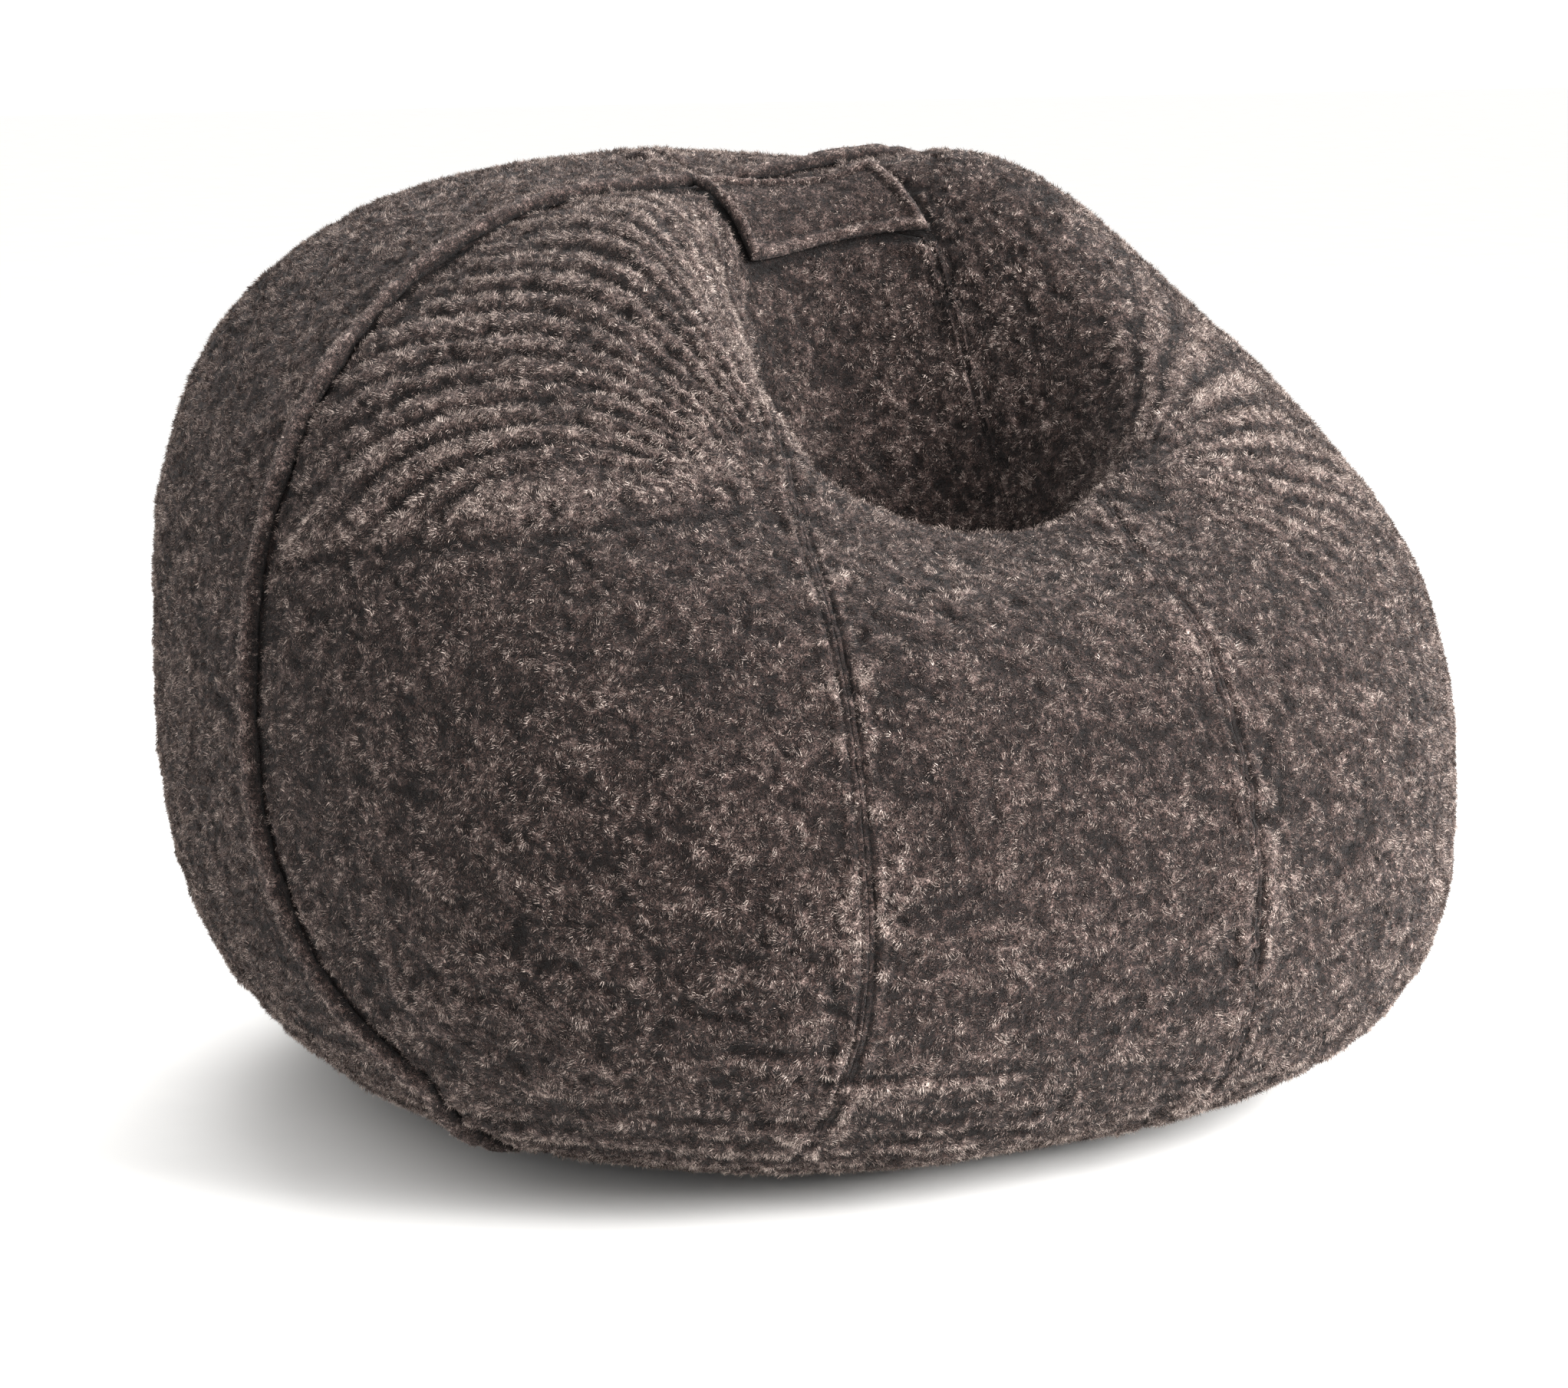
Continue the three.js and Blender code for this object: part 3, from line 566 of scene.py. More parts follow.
def sheet_of_cloth(name, outer, inner, material=None, attributes=None, step=LINING_STEP):
    """A closed piece of cloth: a fine outside, a coarser inside, and walls between their edges."""
    inner = inner[::step, ::step]
    rows, columns = outer.shape[:2]
    low_rows, low_columns = inner.shape[:2]
    base = rows * columns
    fine = np.arange(base).reshape(rows, columns)
    coarse = base + np.arange(low_rows * low_columns).reshape(low_rows, low_columns)
    faces = grid_faces(rows, columns)
    faces += grid_faces(low_rows, low_columns, base, flip=True)
    for edge in (np.s_[0, ::-1], np.s_[:, 0], np.s_[-1], np.s_[::-1, -1]):
        faces += wall_faces(fine[edge], coarse[edge], step)
    points = np.concatenate([outer.reshape(-1, 3), inner.reshape(-1, 3)])
    padded = {}
    for key, values in (attributes or {}).items():
        padded[key] = np.concatenate([values.ravel(), np.zeros(low_rows * low_columns)])
    return new_mesh(name, points, faces, material, padded)


def panel_shares(step, coarser=1):
    """Rows from the crown to the floor, closest where the seat curves."""
    rows = []
    for low, high, size in ROWS:
        count = step * max(1, round((high - low) / (size * coarser * step)))
        rows += list(np.linspace(low, high, count, endpoint=False))
    return np.array(rows + [2.0])


def panel_places(panel, cell, band_cell, step):
    """Places across a panel, from 0 at one seam to 1 at the next, closest beside the seams."""
    start, stop = (seam_angle(seam, 1.0) for seam in PANELS[panel])
    width = (stop - start) % (2 * math.pi) * BAG_DEPTH / 2
    band = SEAM_BAND / width
    edge = step * max(1, round(SEAM_BAND / (band_cell * step)))
    middle = step * max(1, round((width - 2 * SEAM_BAND) / (cell * step)))
    left = np.linspace(0, band, edge, endpoint=False)
    centre = np.linspace(band, 1 - band, middle, endpoint=False)
    return np.concatenate([left, centre, np.linspace(1 - band, 1, edge + 1)])


def panel_grid(panel, shares, places, gap=0.0003):
    """Angles and shares of a panel's points, and the smooth cover there."""
    start, stop = (seam_angle(seam, shares) for seam in PANELS[panel])
    turn = (stop - start) % (2 * math.pi)
    trim = gap / np.maximum(belly_radius(start) * np.minimum(1, shares * 1.5), 0.02)
    angle = (start + trim)[:, None] + places * (turn - 2 * trim)[:, None]
    share = np.broadcast_to(shares[:, None], angle.shape)
    return angle, share, cover_point(angle, share)


def lengths(points, axis):
    """Distance travelled over a grid of points along one axis."""
    steps = np.linalg.norm(np.diff(points, axis=axis), axis=-1)
    return np.concatenate([np.zeros_like(np.take(steps, [0], axis)), np.cumsum(steps, axis)], axis)


def cover_panel(panel):
    """One gore of the cover: its backing, with the attributes that place and colour the pile, painted fold
    shade among them.
    """
    shares = panel_shares(LINING_STEP)
    places = panel_places(panel, CELL, SEAM_CELL, LINING_STEP)
    angle, share, level = panel_grid(panel, shares, places)
    out, _ = cover_frame(angle, share)
    degrees = (np.degrees(angle) + 90) % 360 - 90
    fine = folds(level, np.radians(degrees), share)
    across = lengths(level, 1)
    along = lengths(level, 0)
    sides = list(zip(PANELS[panel], (across, across[:, -1:] - across)))
    for seam, distance in sides:
        fine = fine + seam_relief(distance, along, seam in RIDGES, panel.startswith("front"))
    outside = under_patch(level)
    fine = fine - 0.008 * bell(np.maximum(outside - 0.002, 0), 0, 0.005) * (outside < 0.05)
    height = fine + billows(level)
    height = np.where(height < 0, -DEEPEST_FOLD * np.tanh(-height / DEEPEST_FOLD), height)
    height = height * smooth(0, 0.05, level[..., 2]) - PILE_DEPTH
    outer = level + out * height[..., None]
    outer[..., 2] = np.maximum(outer[..., 2], UNDERSIDE)
    edge = np.minimum(across, across[:, -1:] - across)
    pile = smooth(0.0004, 0.003, edge) * (0.25 + 0.75 * smooth(0.0, 0.03, level[..., 2]))
    for seam, distance in sides:
        if seam in RIDGES:
            pile = pile * smooth(RIDGE_WIDTH / 2 - 0.003, RIDGE_WIDTH / 2 + 0.008, distance)
        else:
            pile = pile * (1 - 0.9 * bell(distance, NEEDLE_GAP / 2, 0.0019))
    pile = pile * smooth(-0.002, 0.008, outside)
    inner = level - out * LINING_DEPTH
    # Painted shade and highlight: the colour darkens in pits, pleat valleys, creases and seam grooves and
    # lightens on crests; the same measure also shortens the pile in the valleys.
    crest_painted_shade = np.clip(0.55 + fine / 0.011, 0, 1)
    pile = pile * (0.55 + 0.45 * crest_painted_shade)
    attributes = {"pile": pile, "crest_painted_shade": crest_painted_shade, "tip": np.full(crest_painted_shade.shape, ROOT_TIP)}
    return sheet_of_cloth("cover_" + panel, outer, inner, attributes=attributes)


def ridge_roll(seam):
    """A ridge seam: two seam allowances folded over into one roll and topstitched along its left side."""
    shares = np.concatenate([np.linspace(0.03, 1, 190, endpoint=False), np.linspace(1, 1.87, 100)])
    angle = seam_angle(seam, shares)
    middle = cover_point(angle, shares)
    out, around = cover_frame(angle, shares)
    down = unit(np.gradient(middle, axis=0))
    around = unit(around - down * np.sum(around * down, -1, keepdims=True))
    along = lengths(middle, 0)
    sides = 16
    turns = np.linspace(-math.pi, math.pi, sides, endpoint=False)
    wander = noise(np.stack([along, 0 * along, 0 * along], -1), 0.06, 31)[:, None]
    gather = noise(np.stack([along, 0 * along + 1, 0 * along], -1), 0.017, 32)[:, None]
    ends = np.minimum(along / 0.015, (along[-1] - along) / 0.09)
    narrow = np.sqrt(np.clip(ends, 0.02, 1))[:, None]
    across = np.sin(turns) * RIDGE_WIDTH / 2 * (1 + 0.1 * wander + 0.08 * gather) + 0.002 * wander
    top = np.clip(np.cos(turns), -0.35, 1)
    lift = top * RIDGE_HEIGHT * (0.95 + 0.15 * wander + 0.22 * gather) + 0.0015
    lift = lift - 0.0035 * bell(np.sin(turns), -0.45, 0.16) * (top > 0)
    across, lift = across * narrow, lift * narrow
    points = middle[:, None] + around[:, None] * across[..., None] + out[:, None] * lift[..., None]
    points[..., 2] = np.maximum(points[..., 2], UNDERSIDE)
    count = len(shares)
    faces = grid_faces(count, sides, ring=True)
    faces += [list(range(sides))[::-1], [(count - 1) * sides + i for i in range(sides)]]
    pile = np.broadcast_to(np.where(np.cos(turns) > -0.2, 0.4, 0.0), (count, sides))
    # Painted light: the roll's top is lighter and its sides darker, as the light falls on it.
    crest_painted_shade = np.broadcast_to(0.78 * np.clip(np.cos(turns) + 0.1, 0, 1) ** 0.5, (count, sides))
    attributes = {"pile": pile.ravel(), "crest_painted_shade": crest_painted_shade.ravel(), "tip": np.full(crest_painted_shade.size, FOLDED_TIP)}
    return new_mesh("ridge_" + seam, points.reshape(-1, 3), faces, attributes=attributes)


def cover_height():
    """The cover round the crown as a surface to drop things onto."""
    rows, columns = 90, 240
    points = cover_point(*np.meshgrid(round_turns(columns), np.linspace(0.004, 0.5, rows)))
    return BVHTree.FromPolygons(points.reshape(-1, 3).tolist(), grid_faces(rows, columns, ring=True))


def crown_patch():
    """A hemmed rectangle of plush sewn down in front of the crown, its edges folded under."""
    surface = cover_height()
    rows, columns = 49, 93
    i, j = np.meshgrid(np.linspace(0, 1, columns), np.linspace(0, 1, rows))
    turn = math.radians(PATCH_TURN)
    right = PATCH_WIDTH * i + PATCH_SLIP * j
    back = -(PATCH_REACH - 4 * PATCH_ARCH * i * (1 - i)) * j
    x = PATCH_LEFT + right * math.cos(turn) - back * math.sin(turn) + ORIGIN[0]
    y = CROWN_Y - PATCH_GAP_TO_CROWN + right * math.sin(turn) + back * math.cos(turn) + ORIGIN[1]
    down = Vector((0, 0, -1))
    hits = [surface.ray_cast(Vector((a, b, 2)), down)[0].z for a, b in zip(x.ravel(), y.ravel())]
    rest = np.stack([x, y, np.array(hits).reshape(x.shape)], -1)
    out = unit(np.cross(np.gradient(rest, axis=0), np.gradient(rest, axis=1)))
    length = PATCH_REACH * 1.2  # it follows the slope, so it is longer than it looks from above
    edge = np.minimum(np.minimum(i, 1 - i) * PATCH_WIDTH, np.minimum(j, 1 - j) * length)
    hem = 0.0055 * bell(edge, 0.006, 0.006) * (1 + 0.4 * noise(rest, 0.02, 41))
    hem -= 0.002 * bell(edge, 0.016, 0.003)
    top = PATCH_THICKNESS * np.sqrt(np.clip(edge / 0.004, 0.05, 1)) + hem
    top += 0.0015 * noise(rest, 0.03, 42) + 0.001 * noise(rest, 0.014, 43)
    outer = rest + out * (PATCH_LIFT - 0.002 + top)[..., None]
    inner = rest + out * (PATCH_LIFT - 0.003)
    # Painted light and shade: the raised hem is lighter and the dip just inside it darker.
    crest_painted_shade = np.clip(0.5 + (hem + top - PATCH_THICKNESS) / 0.03, 0, 1)
    attributes = {"pile": 0.25 + 0.35 * smooth(0, 0.01, edge), "crest_painted_shade": crest_painted_shade,
                  "tip": np.full(crest_painted_shade.shape, FOLDED_TIP)}
    return sheet_of_cloth("crown_patch_plush", outer, inner, attributes=attributes)


# ---- geometry nodes

def new_tree(name, inputs):
    """A geometry tree with a Geometry input and output and these named inputs."""
    tree = bpy.data.node_groups.new(name, "GeometryNodeTree")
    for label, kind in ({"Geometry": "Geometry"} | inputs).items():
        tree.interface.new_socket(name=label, in_out="INPUT", socket_type="NodeSocket" + kind)
    tree.interface.new_socket(name="Geometry", in_out="OUTPUT", socket_type="NodeSocketGeometry")
    return tree, node(tree, "NodeGroupInput").outputs


def vector(tree, operation, a, b=(0, 0, 0), **values):
    return node(tree, "ShaderNodeVectorMath", {0: a, 1: b} | values, operation=operation).outputs[0]


def random_value(tree, low, high, seed):
    inputs = {2: low, 3: high, "Seed": seed}
    return node(tree, "FunctionNodeRandomValue", inputs, data_type="FLOAT").outputs[1]


def copies(tree, source, points, **values):
    """Copies of an object's mesh on points."""
    shape = node(tree, "GeometryNodeObjectInfo", {"Object": source}).outputs["Geometry"]
    inputs = {"Points": points, "Instance": shape} | values
    return node(tree, "GeometryNodeInstanceOnPoints", inputs).outputs[0]


def finish_tree(tree, geometry, material):
    dressed = node(tree, "GeometryNodeSetMaterial", {"Geometry": geometry, "Material": material})
    node(tree, "NodeGroupOutput", {"Geometry": dressed.outputs[0]})
    return tree


def as_plain_mesh(piece):
    """Keeps what a piece's modifiers make of it, and removes them."""
    depsgraph = bpy.context.evaluated_depsgraph_get()
    depsgraph.update()
    result = bpy.data.meshes.new_from_object(piece.evaluated_get(depsgraph))
    piece.modifiers.clear()
    old, piece.data = piece.data, result
    bpy.data.meshes.remove(old)
    return piece


def grow(piece, tree, values):
    """Runs a tree on a piece and keeps the result."""
    modifier = piece.modifiers.new(tree.name, "NODES")
    modifier.node_group = tree
    for item in tree.interface.items_tree:
        if item.in_out == "INPUT" and item.name in values:
            modifier[item.identifier] = values[item.name]
    piece.update_tag()
    return as_plain_mesh(piece)


def tuft():
    """A small tuft of pile: flat pointed blades that lean apart, each darker at its root."""
    spread = np.random.default_rng(5)
    points, faces, tips = [], [], []
    for k in range(TUFT_BLADES):
        turn = 2 * math.pi * (k + spread.uniform(-0.3, 0.3)) / TUFT_BLADES
        out = np.array([math.cos(turn), math.sin(turn), 0])
        root = out * TUFT_RADIUS * spread.uniform(0.3, 1)
        lean = out * spread.uniform(0.1, 0.5)
        tip = root + unit(lean + np.array([0, 0, 1])) * BLADE_LENGTH * spread.uniform(0.75, 1.15)
        face_turn = turn + spread.uniform(-0.9, 0.9)
        side = np.array([-math.sin(face_turn), math.cos(face_turn), 0]) * BLADE_WIDTH / 2
        first = len(points)
        points += [root - side, root + side, tip]
        faces.append([first, first + 1, first + 2])
        tips += [0.1, 0.1, 1.0]
    made = new_mesh("tuft", np.array(points), faces, attributes={"tip": tips})
    made.hide_render = True
    return made


def pile_tree():
    """Sets tufts all over a cloth: they lie down along a flow that swirls from lock to lock."""
    inputs = {"Tuft": "Object", "Tufts per area": "Float", "Lock size": "Float", "Lay": "Float",
              "Seed": "Int", "Material": "Material"}
    tree, given = new_tree("Plush pile", inputs)
    pile = node(tree, "GeometryNodeInputNamedAttribute", {"Name": "pile"}, data_type="FLOAT")
    pile = pile.outputs["Attribute"]
    thick = maths(tree, "GREATER_THAN", pile, 0.05)
    density = maths(tree, "MULTIPLY", given["Tufts per area"], thick)
    inputs = {"Mesh": given["Geometry"], "Density": density, "Seed": given["Seed"]}
    spots = node(tree, "GeometryNodeDistributePointsOnFaces", inputs, distribute_method="RANDOM")
    place = node(tree, "GeometryNodeInputPosition").outputs["Position"]
    scale = maths(tree, "DIVIDE", 1.0, given["Lock size"])
    inputs = {"Vector": place, "Scale": scale, "Detail": 2.0, "Roughness": 0.65}
    swirl = node(tree, "ShaderNodeTexNoise", inputs)
    # The last number is over a half, so the pile leans down on the whole
    flow = vector(tree, "SUBTRACT", swirl.outputs["Color"], (0.5, 0.5, 0.535))
    normal = spots.outputs["Normal"]
    flat = vector(tree, "SUBTRACT", flow, vector(tree, "PROJECT", flow, normal))
    lying = vector(tree, "SCALE", vector(tree, "NORMALIZE", flat), Scale=given["Lay"])
    way = vector(tree, "ADD", lying, normal)
    aimed = node(tree, "FunctionNodeAlignRotationToVector", {"Vector": way}, axis="Z").outputs[0]
    inputs = {0: (-0.35, -0.35, -math.pi), 1: (0.35, 0.35, math.pi), "Seed": 3}
    twist = node(tree, "FunctionNodeRandomValue", inputs, data_type="FLOAT_VECTOR").outputs[0]
    turned = node(tree, "FunctionNodeEulerToRotation", {0: twist}).outputs[0]
    inputs = {0: aimed, 1: turned}
    rotation = node(tree, "FunctionNodeRotateRotation", inputs, rotation_space="LOCAL").outputs[0]
    growth = random_value(tree, 0.7, 1.2, 4)
    size = maths(tree, "MULTIPLY", growth, maths(tree, "MULTIPLY_ADD", pile, 0.7, 0.3))
    tufts = copies(tree, given["Tuft"], spots.outputs["Points"], Rotation=rotation, Scale=size)
    inputs = {"Geometry": tufts, "Name": "shade", "Value": random_value(tree, 0.0, 1.0, 6)}
    toned = node(tree, "GeometryNodeStoreNamedAttribute", inputs, data_type="FLOAT", domain="INSTANCE")
    real = node(tree, "GeometryNodeRealizeInstances", {"Geometry": toned.outputs[0]}).outputs[0]
    both = node(tree, "GeometryNodeJoinGeometry", {0: given["Geometry"]})
    tree.links.new(real, both.inputs[0])
    return finish_tree(tree, both.outputs[0], given["Material"])


def row_tree():
    """Repeats one shape along a straight line, as the turns of a coil."""
    inputs = {"Shape": "Object", "Count": "Int", "Start": "Vector", "Step": "Vector", "Material": "Material"}
    tree, given = new_tree("Row", inputs)
    inputs = {"Count": given["Count"], "Start Location": given["Start"], "Offset": given["Step"]}
    line = node(tree, "GeometryNodeMeshLine", inputs, mode="OFFSET").outputs[0]
    inputs = {"Geometry": copies(tree, given["Shape"], line)}
    real = node(tree, "GeometryNodeRealizeInstances", inputs).outputs[0]
    return finish_tree(tree, real, given["Material"])


# ---- pieces

def declare(piece, node_name, body="bag"):
    """Hangs a piece on its body and hides the CAD node that it replaces."""
    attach(piece, body)
    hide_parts(node_name)
    return piece


def plush_cover(plush):
    """The cover's five gores, two ridge seams and crown patch, each with its pile."""
    tree = pile_tree()
    blade_tuft = tuft()
    common = {"Tuft": blade_tuft, "Tufts per area": 1 / TUFT_AREA, "Lock size": LOCK_SIZE, "Lay": PILE_LAY,
              "Material": plush}
    for seed, panel in enumerate(PANELS):
        piece = grow(cover_panel(panel), tree, common | {"Seed": seed})
        declare(piece, "cover_gore_" + panel)
    for seed, seam in enumerate(RIDGES, len(PANELS)):
        piece = grow(ridge_roll(seam), tree, common | {"Seed": seed, "Lay": RIDGE_LAY})
        declare(piece, "ridge_seam_" + seam)
    piece = grow(crown_patch(), tree, common | {"Seed": 9})
    declare(piece, "crown_patch")
    bpy.data.objects.remove(blade_tuft)


def softened(node_name, name, material, bevel):
    """A copy of a CAD node with its sharp edges rounded."""
    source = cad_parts[node_name]
    made = new_object(name, source.data.copy())
    made.data.materials.clear()
    made.data.materials.append(material)
    weld = made.modifiers.new("weld", "WELD")
    weld.merge_threshold = WELD_GAP
    flat = made.modifiers.new("flat", "DECIMATE")
    flat.decimate_type = "DISSOLVE"
    flat.angle_limit = math.radians(1)
    rounding = made.modifiers.new("rounding", "BEVEL")
    rounding.width = bevel
    rounding.segments = 2
    rounding.angle_limit = math.radians(40)
    return as_plain_mesh(made)


def widen_tape(piece, side):
    """Runs a tape on past both ends of its zip, and in behind the coils until it nearly meets the other."""
    points = np.array([vertex.co for vertex in piece.data.vertices])
    low, high = points.min(0), points.max(0)
    points[:, 0] += TAPE_END * ((points[:, 0] > high[0] - 0.001) * 1.0 - (points[:, 0] < low[0] + 0.001))
    if side == "front":
        points[:, 1] += TAPE_LAP * (points[:, 1] > high[1] - 0.001)
    else:
        points[:, 1] -= TAPE_LAP * (points[:, 1] < low[1] + 0.001)
    for vertex, point in zip(piece.data.vertices, points):
        vertex.co = point


def coil_turn():
    """One turn of a zip's nylon coil: a bent wire round the cord, a few dozen faces."""
    sides, steps = 5, 9  # of the wire, and of the turn
    turns = round_turns(steps)
    across, up = np.cos(turns), np.sin(turns)
    middle = np.stack([COIL_LEAN * across, COIL_WIDTH / 2 * across, COIL_HEIGHT / 2 * up], -1)
    outward = unit(np.stack([0 * turns, across, up], -1))
    rounds = round_turns(sides)
    along = np.array([1, 0, 0])
    ring = outward[:, None] * np.cos(rounds)[:, None] + along * np.sin(rounds)[:, None]
    points = middle[:, None] + COIL_WIRE * ring
    faces = np.array(grid_faces(steps + 1, sides, ring=True)) % (steps * sides)
    made = new_mesh("coil_turn", points.reshape(-1, 3), faces.tolist())
    made.hide_render = True
    return made


def zip_pieces(prefix, tape, nylon, zinc, tree, turn):
    """A zip's woven tapes, the coil on each, and its stops."""
    for side in ("front", "back"):
        node_name = prefix + "_zip_teeth_" + side
        low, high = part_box(node_name)
        count = int((high.x - low.x) / COIL_PITCH) - 1
        # The coils reach into each other's gaps, half a turn apart
        inward, offset = (COIL_REACH, 0.5) if side == "front" else (-COIL_REACH, 1.0)
        start = (low.x + COIL_PITCH * offset, (low.y + high.y) / 2 + inward, (low.z + high.z) / 2)
        piece = new_mesh(prefix + "_coil_" + side, np.zeros((1, 3)), [])
        step = (COIL_PITCH, 0.0, 0.0)
        values = {"Shape": turn, "Count": count, "Start": start, "Step": step, "Material": nylon}
        declare(grow(piece, tree, values), node_name)
        node_name = prefix + "_zip_tape_" + side
        piece = softened(node_name, prefix + "_tape_" + side, tape, 0.0003)
        if prefix == "cover":
            widen_tape(piece, side)
        declare(piece, node_name)
        node_name = prefix + "_zip_top_stop_" + side
        declare(softened(node_name, prefix + "_crimp_" + side, zinc, 0.0006), node_name)
    node_name = prefix + "_zip_bottom_stop"
    declare(softened(node_name, prefix + "_bottom_crimp", zinc, 0.0006), node_name)


def zips(tape, nylon, zinc):
    """Both zips, and the three pieces that move: two sliders and the pull tab."""
    tree = row_tree()
    turn = coil_turn()
    zip_pieces("cover", tape, nylon, zinc, tree, turn)
    zip_pieces("liner", tape, nylon, zinc, tree, turn)
    bpy.data.objects.remove(turn)
    for node_name, name, body in (("cover_zip_slider", "cover_slider_body", "cover_slider"),
                                  ("cover_zip_pull", "cover_pull_tab", "pull_tab"),
                                  ("liner_zip_slider", "liner_slider_body", "liner_slider")):
        declare(softened(node_name, name, zinc, 0.0003), node_name, body=body)


def base_half(side, cloth):
    """Half of the cover's base: heavy cloth with rounded, stitched hems round its rim and the zip's slot."""
    low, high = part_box("cover_base_" + side)
    middle = (low.x + high.x) / 2
    turns = np.linspace(-math.pi, math.pi, 721)
    ring = cover_point(turns, np.full_like(turns, 2.0))
    front = side == "front"
    seam, rim = (high.y, low.y) if front else (low.y, high.y)
    ring = ring[(ring[:, 1] < seam) if front else (ring[:, 1] > seam)]
    ring = ring[np.argsort(ring[:, 0])]
    half = (high.x - low.x) / 2
    ring_x = middle + (ring[:, 0] - ring[:, 0].mean()) * half / np.ptp(ring[:, 0]) * 2
    furthest = ring[:, 1][np.argmax(np.abs(ring[:, 1] - seam))]
    ring_y = seam + (ring[:, 1] - seam) * (rim - seam) / (furthest - seam)
    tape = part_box("cover_zip_tape_front")
    slot = (tape[1].x - tape[0].x) / 2 + SLOT_ROOM
    bend = np.linspace(math.asin(slot / half), math.radians(89), 21)
    wing = half * np.sin(bend)
    x = np.concatenate([-wing[::-1], np.linspace(-slot + 0.0004, slot - 0.0004, 119), wing]) + middle
    outline = np.interp(x, ring_x, ring_y)
    inner_edge = np.where(np.abs(x - middle) < slot, seam + (-SLOT_WIDTH if front else SLOT_WIDTH), seam)
    edges = (outline, inner_edge) if front else (inner_edge, outline)
    length = np.abs(outline - inner_edge)
    fixed = np.minimum(HEM[None] / length[:, None], 0.45 * HEM[None] / HEM[-1])
    between = np.linspace(0, 1, 17)[1:-1]
    inside = fixed[:, -1:] + (1 - 2 * fixed[:, -1:]) * between[None]
    way = np.concatenate([fixed, inside, 1 - fixed[:, ::-1]], 1).T
    y = edges[0] + way * (edges[1] - edges[0])
    x = np.broadcast_to(x, y.shape)
    edge = np.minimum(way, 1 - way) * length
    flat = np.stack([x, y, 0 * y], -1)
    bottom = 0.0028 * np.clip(1 - edge / 0.003, 0, 1) ** 2
    bottom += 0.0012 * bell(edge, HEM_STITCHES, 0.0012)
    bottom += 0.0006 * np.clip(noise(flat, 0.05, 71) + noise(flat, 0.024, 72), 0, 1)
    outer = np.stack([x, y, bottom], -1)
    inner = np.stack([x, y, np.full(y.shape, high.z)], -1)
    return sheet_of_cloth("base_" + side, outer, inner, cloth)


def base_panels(cloth, liner_cloth):
    """The flat base panels of the cover, and the liner's own."""
    for side in ("front", "back"):
        declare(base_half(side, cloth), "cover_base_" + side)
        piece = softened("liner_base_" + side, "liner_floor_" + side, liner_cloth, 0.0004)
        declare(piece, "liner_base_" + side)


def liner_panel(panel, cloth):
    """One panel of the inner liner, slightly creased by the filling."""
    step = 2
    shares = panel_shares(step, 2.1)
    places = panel_places(panel, 2.4 * CELL, 4 * SEAM_CELL, step)
    angle, share, points = panel_grid(panel, shares, places, 0.0008)
    out, _ = cover_frame(angle, share)
    creases = 0.0006 * noise(points, 0.05, 51) + 0.0004 * noise(points, 0.022, 52)
    outer = points + out * (creases - LINER_INSET)[..., None]
    inner = points - out * (LINER_INSET + LINER_THICKNESS)
    return sheet_of_cloth("liner_" + panel, outer, inner, cloth, step=step)


def filling(foam):
    """The filling: crumbs of foam pressed together into the shape of the bag."""
    count = 330
    shares = np.concatenate([np.linspace(0.004, 1, 96)[:-1], np.linspace(1, 2, 40)])
    angle, share = np.meshgrid(round_turns(count), shares)
    points = cover_point(angle, share)
    out, _ = cover_frame(angle, share)
    crumbs = 0.0035 * np.abs(noise(points, 0.034, 61)) + 0.002 * noise(points, 0.018, 62)
    points = points - out * (FILL_INSET + crumbs)[..., None]
    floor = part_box("foam_fill")[0].z
    points[-1, :, 2] = floor
    points[..., 2] = np.maximum(points[..., 2], floor)
    ends = np.array([points[0].mean(0), [ORIGIN[0], ORIGIN[1], floor]])
    first, last = len(shares) * count, (len(shares) - 1) * count
    faces = grid_faces(len(shares), count, ring=True)
    faces += [[first, i, (i + 1) % count] for i in range(count)]
    faces += [[first + 1, last + (i + 1) % count, last + i] for i in range(count)]
    return new_mesh("shredded_filling", np.concatenate([points.reshape(-1, 3), ends]), faces, foam)


def care_label(ribbon):
    """The care label: a ribbon whose free end curls up a little."""
    low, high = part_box("care_label")
    i, j = np.meshgrid(np.linspace(0, 1, 41), np.linspace(0, 1, 25))
    x = low.x + (high.x - low.x) * i
    y = high.y - (high.y - low.y) * j
    lift = 0.0012 * i ** 3 + 0.00015 * np.sin(9 * j) * i
    top = np.stack([x, y, high.z - 0.0003 + lift], -1)
    under = np.stack([x, y, low.z + lift], -1)
    return sheet_of_cloth("care_ribbon", top, under, ribbon)


def hidden_pieces(materials):
    """What the cover hides: the liner's panels, the filling and the care label."""
    for panel in PANELS:
        piece = liner_panel(panel, materials["liner"])
        declare(piece, "liner_panel_" + panel)
    declare(filling(materials["foam"]), "foam_fill")
    piece = declare(care_label(materials["ribbon"]), "care_label")


# ---- camera, light and floor

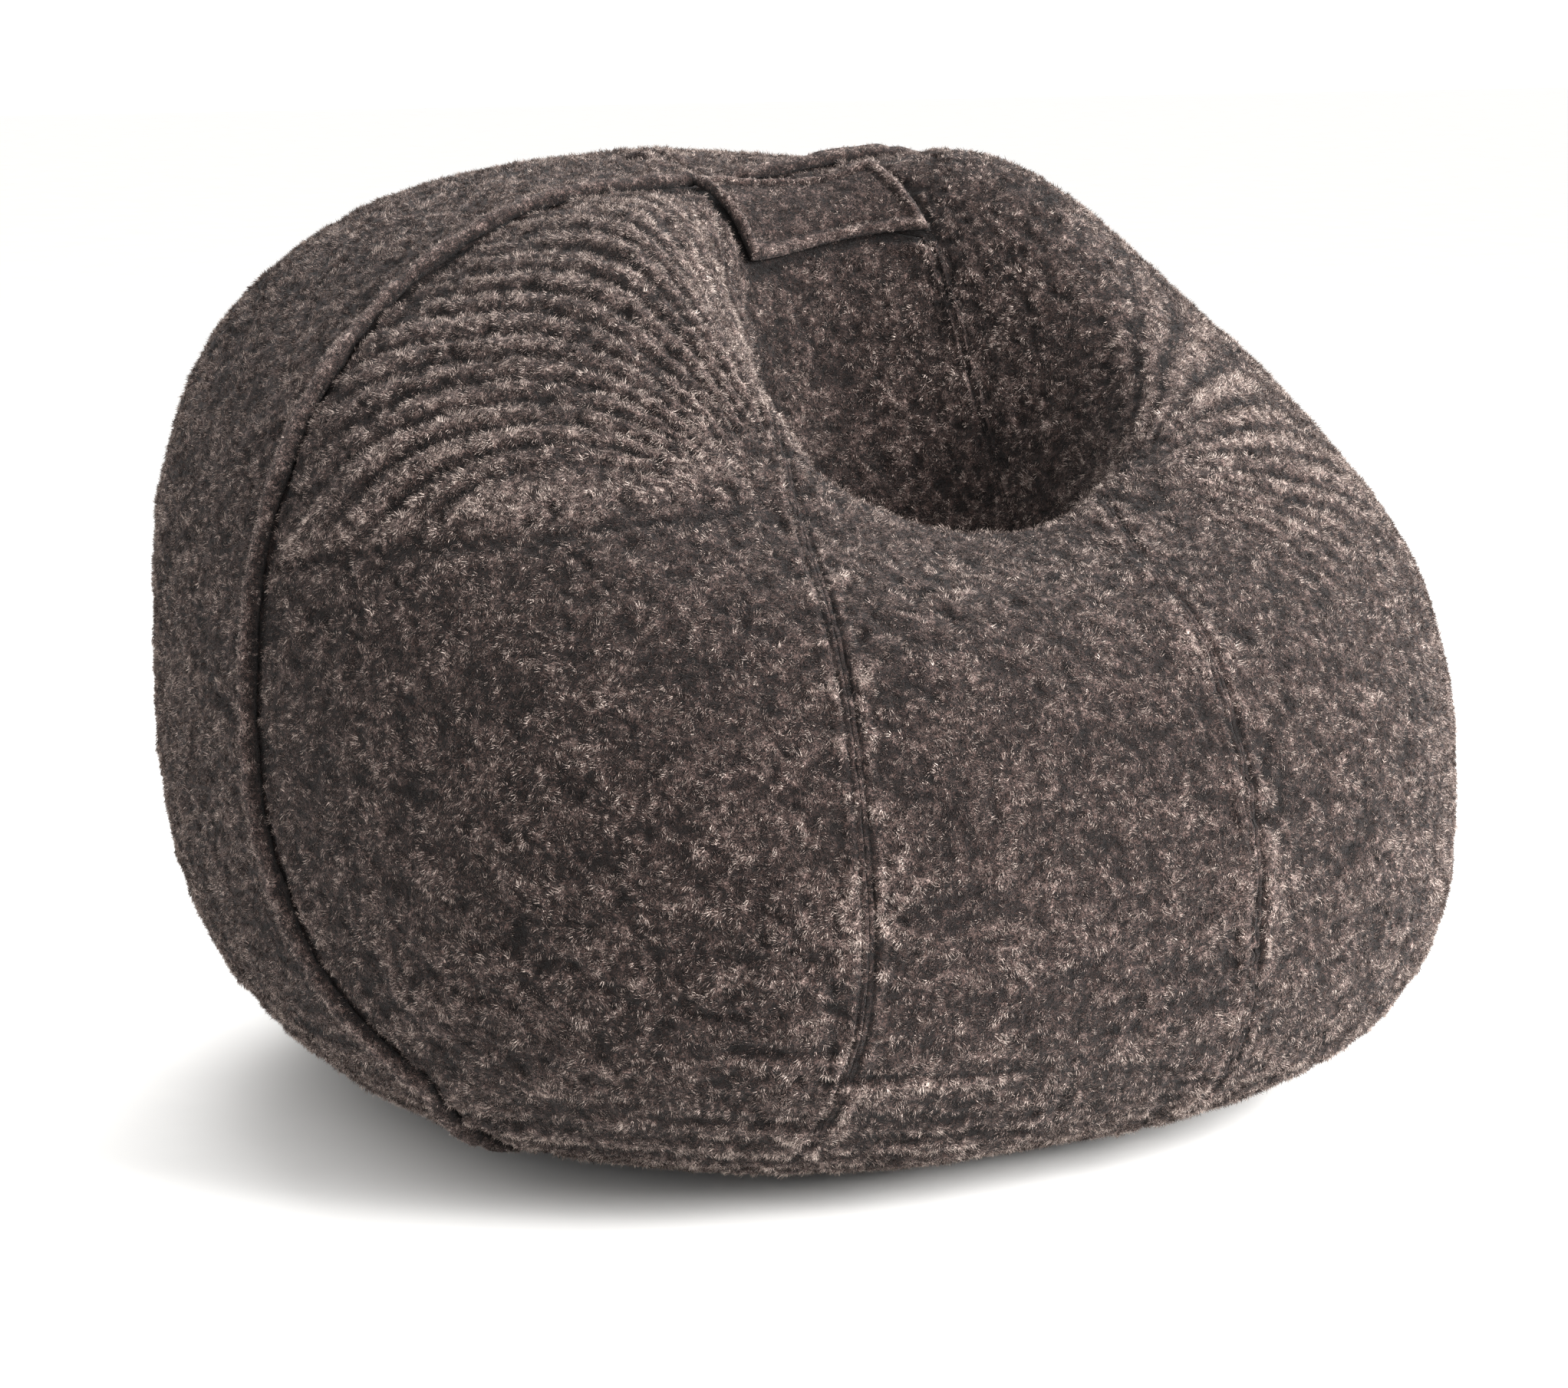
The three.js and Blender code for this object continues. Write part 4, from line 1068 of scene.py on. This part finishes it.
def camera():
    """Looks at the front of the chair from its right and a little above."""
    azimuth, elevation = math.radians(CAMERA_AZIMUTH), math.radians(CAMERA_ELEVATION)
    level = math.cos(elevation)
    back = Vector((math.sin(azimuth) * level, -math.cos(azimuth) * level, math.sin(elevation)))
    data = bpy.data.cameras.new("camera")
    data.sensor_width = 36
    data.lens = LENS
    data.shift_x, data.shift_y = LENS_SHIFT
    data.clip_end = 60
    made = new_object("camera", data)
    made.location = Vector(ORIGIN) + Vector(CAMERA_TARGET) + back * CAMERA_DISTANCE
    made.rotation_euler = (-back).to_track_quat("-Z", "Y").to_euler()
    bpy.context.scene.camera = made


def soft_light(name, place, size, power):
    data = bpy.data.lights.new(name, "AREA")
    data.size = size
    data.energy = power
    made = new_object(name, data)
    made.location = place
    made.rotation_euler = (Vector(LIGHT_TARGET) - Vector(place)).to_track_quat("-Z", "Y").to_euler()


def studio(floor_material):
    """Two soft lights, an even white surround and a plain floor."""
    for name, settings in LIGHTS.items():
        soft_light(name, *settings)
    world = bpy.data.worlds.new("studio")
    bpy.context.scene.world = world
    world.use_nodes = True
    background = world.node_tree.nodes["Background"]
    background.inputs["Color"].default_value = linear("#ffffff")
    background.inputs["Strength"].default_value = 1.06
    corners = [[x * FLOOR_HALF, y * FLOOR_HALF, FLOOR_Z] for x, y in ((-1, -1), (1, -1), (1, 1), (-1, 1))]
    floor = new_mesh("floor", np.array(corners), [[0, 1, 2, 3]], floor_material)
    bpy.context.scene.view_settings.view_transform = "Standard"


camera()
materials = {
    "plush": brushed_plush(),
    "base": woven("base_canvas", "#262221", "#423b39", 900, 0.85),
    "tape": woven("woven_tape", "#1f1c1b", "#383230", 2000, 0.75),
    "liner": bonded_cloth(),
    "foam": open_cell_foam(),
    # Nylon coil teeth: satin, near black, with faint streaks from the heat setting
    "nylon": mottled("moulded_nylon", 900, 2, [(0.3, "#1c1a1a"), (0.7, "#33302f")], 0.0001,
                     Roughness=0.42, IOR=1.53),
    "zinc": lacquered_zinc(),
    "ribbon": satin_ribbon(),
}
plush_cover(materials["plush"])
base_panels(materials["base"], materials["liner"])
zips(materials["tape"], materials["nylon"], materials["zinc"])
hidden_pieces(materials)
# A pale matt studio floor
studio(mottled("studio_floor", 6, 3, [(0.3, "#f8f7f5"), (0.7, "#fbfaf8")],
               Roughness=0.9, Specular_IOR_Level=0.1))
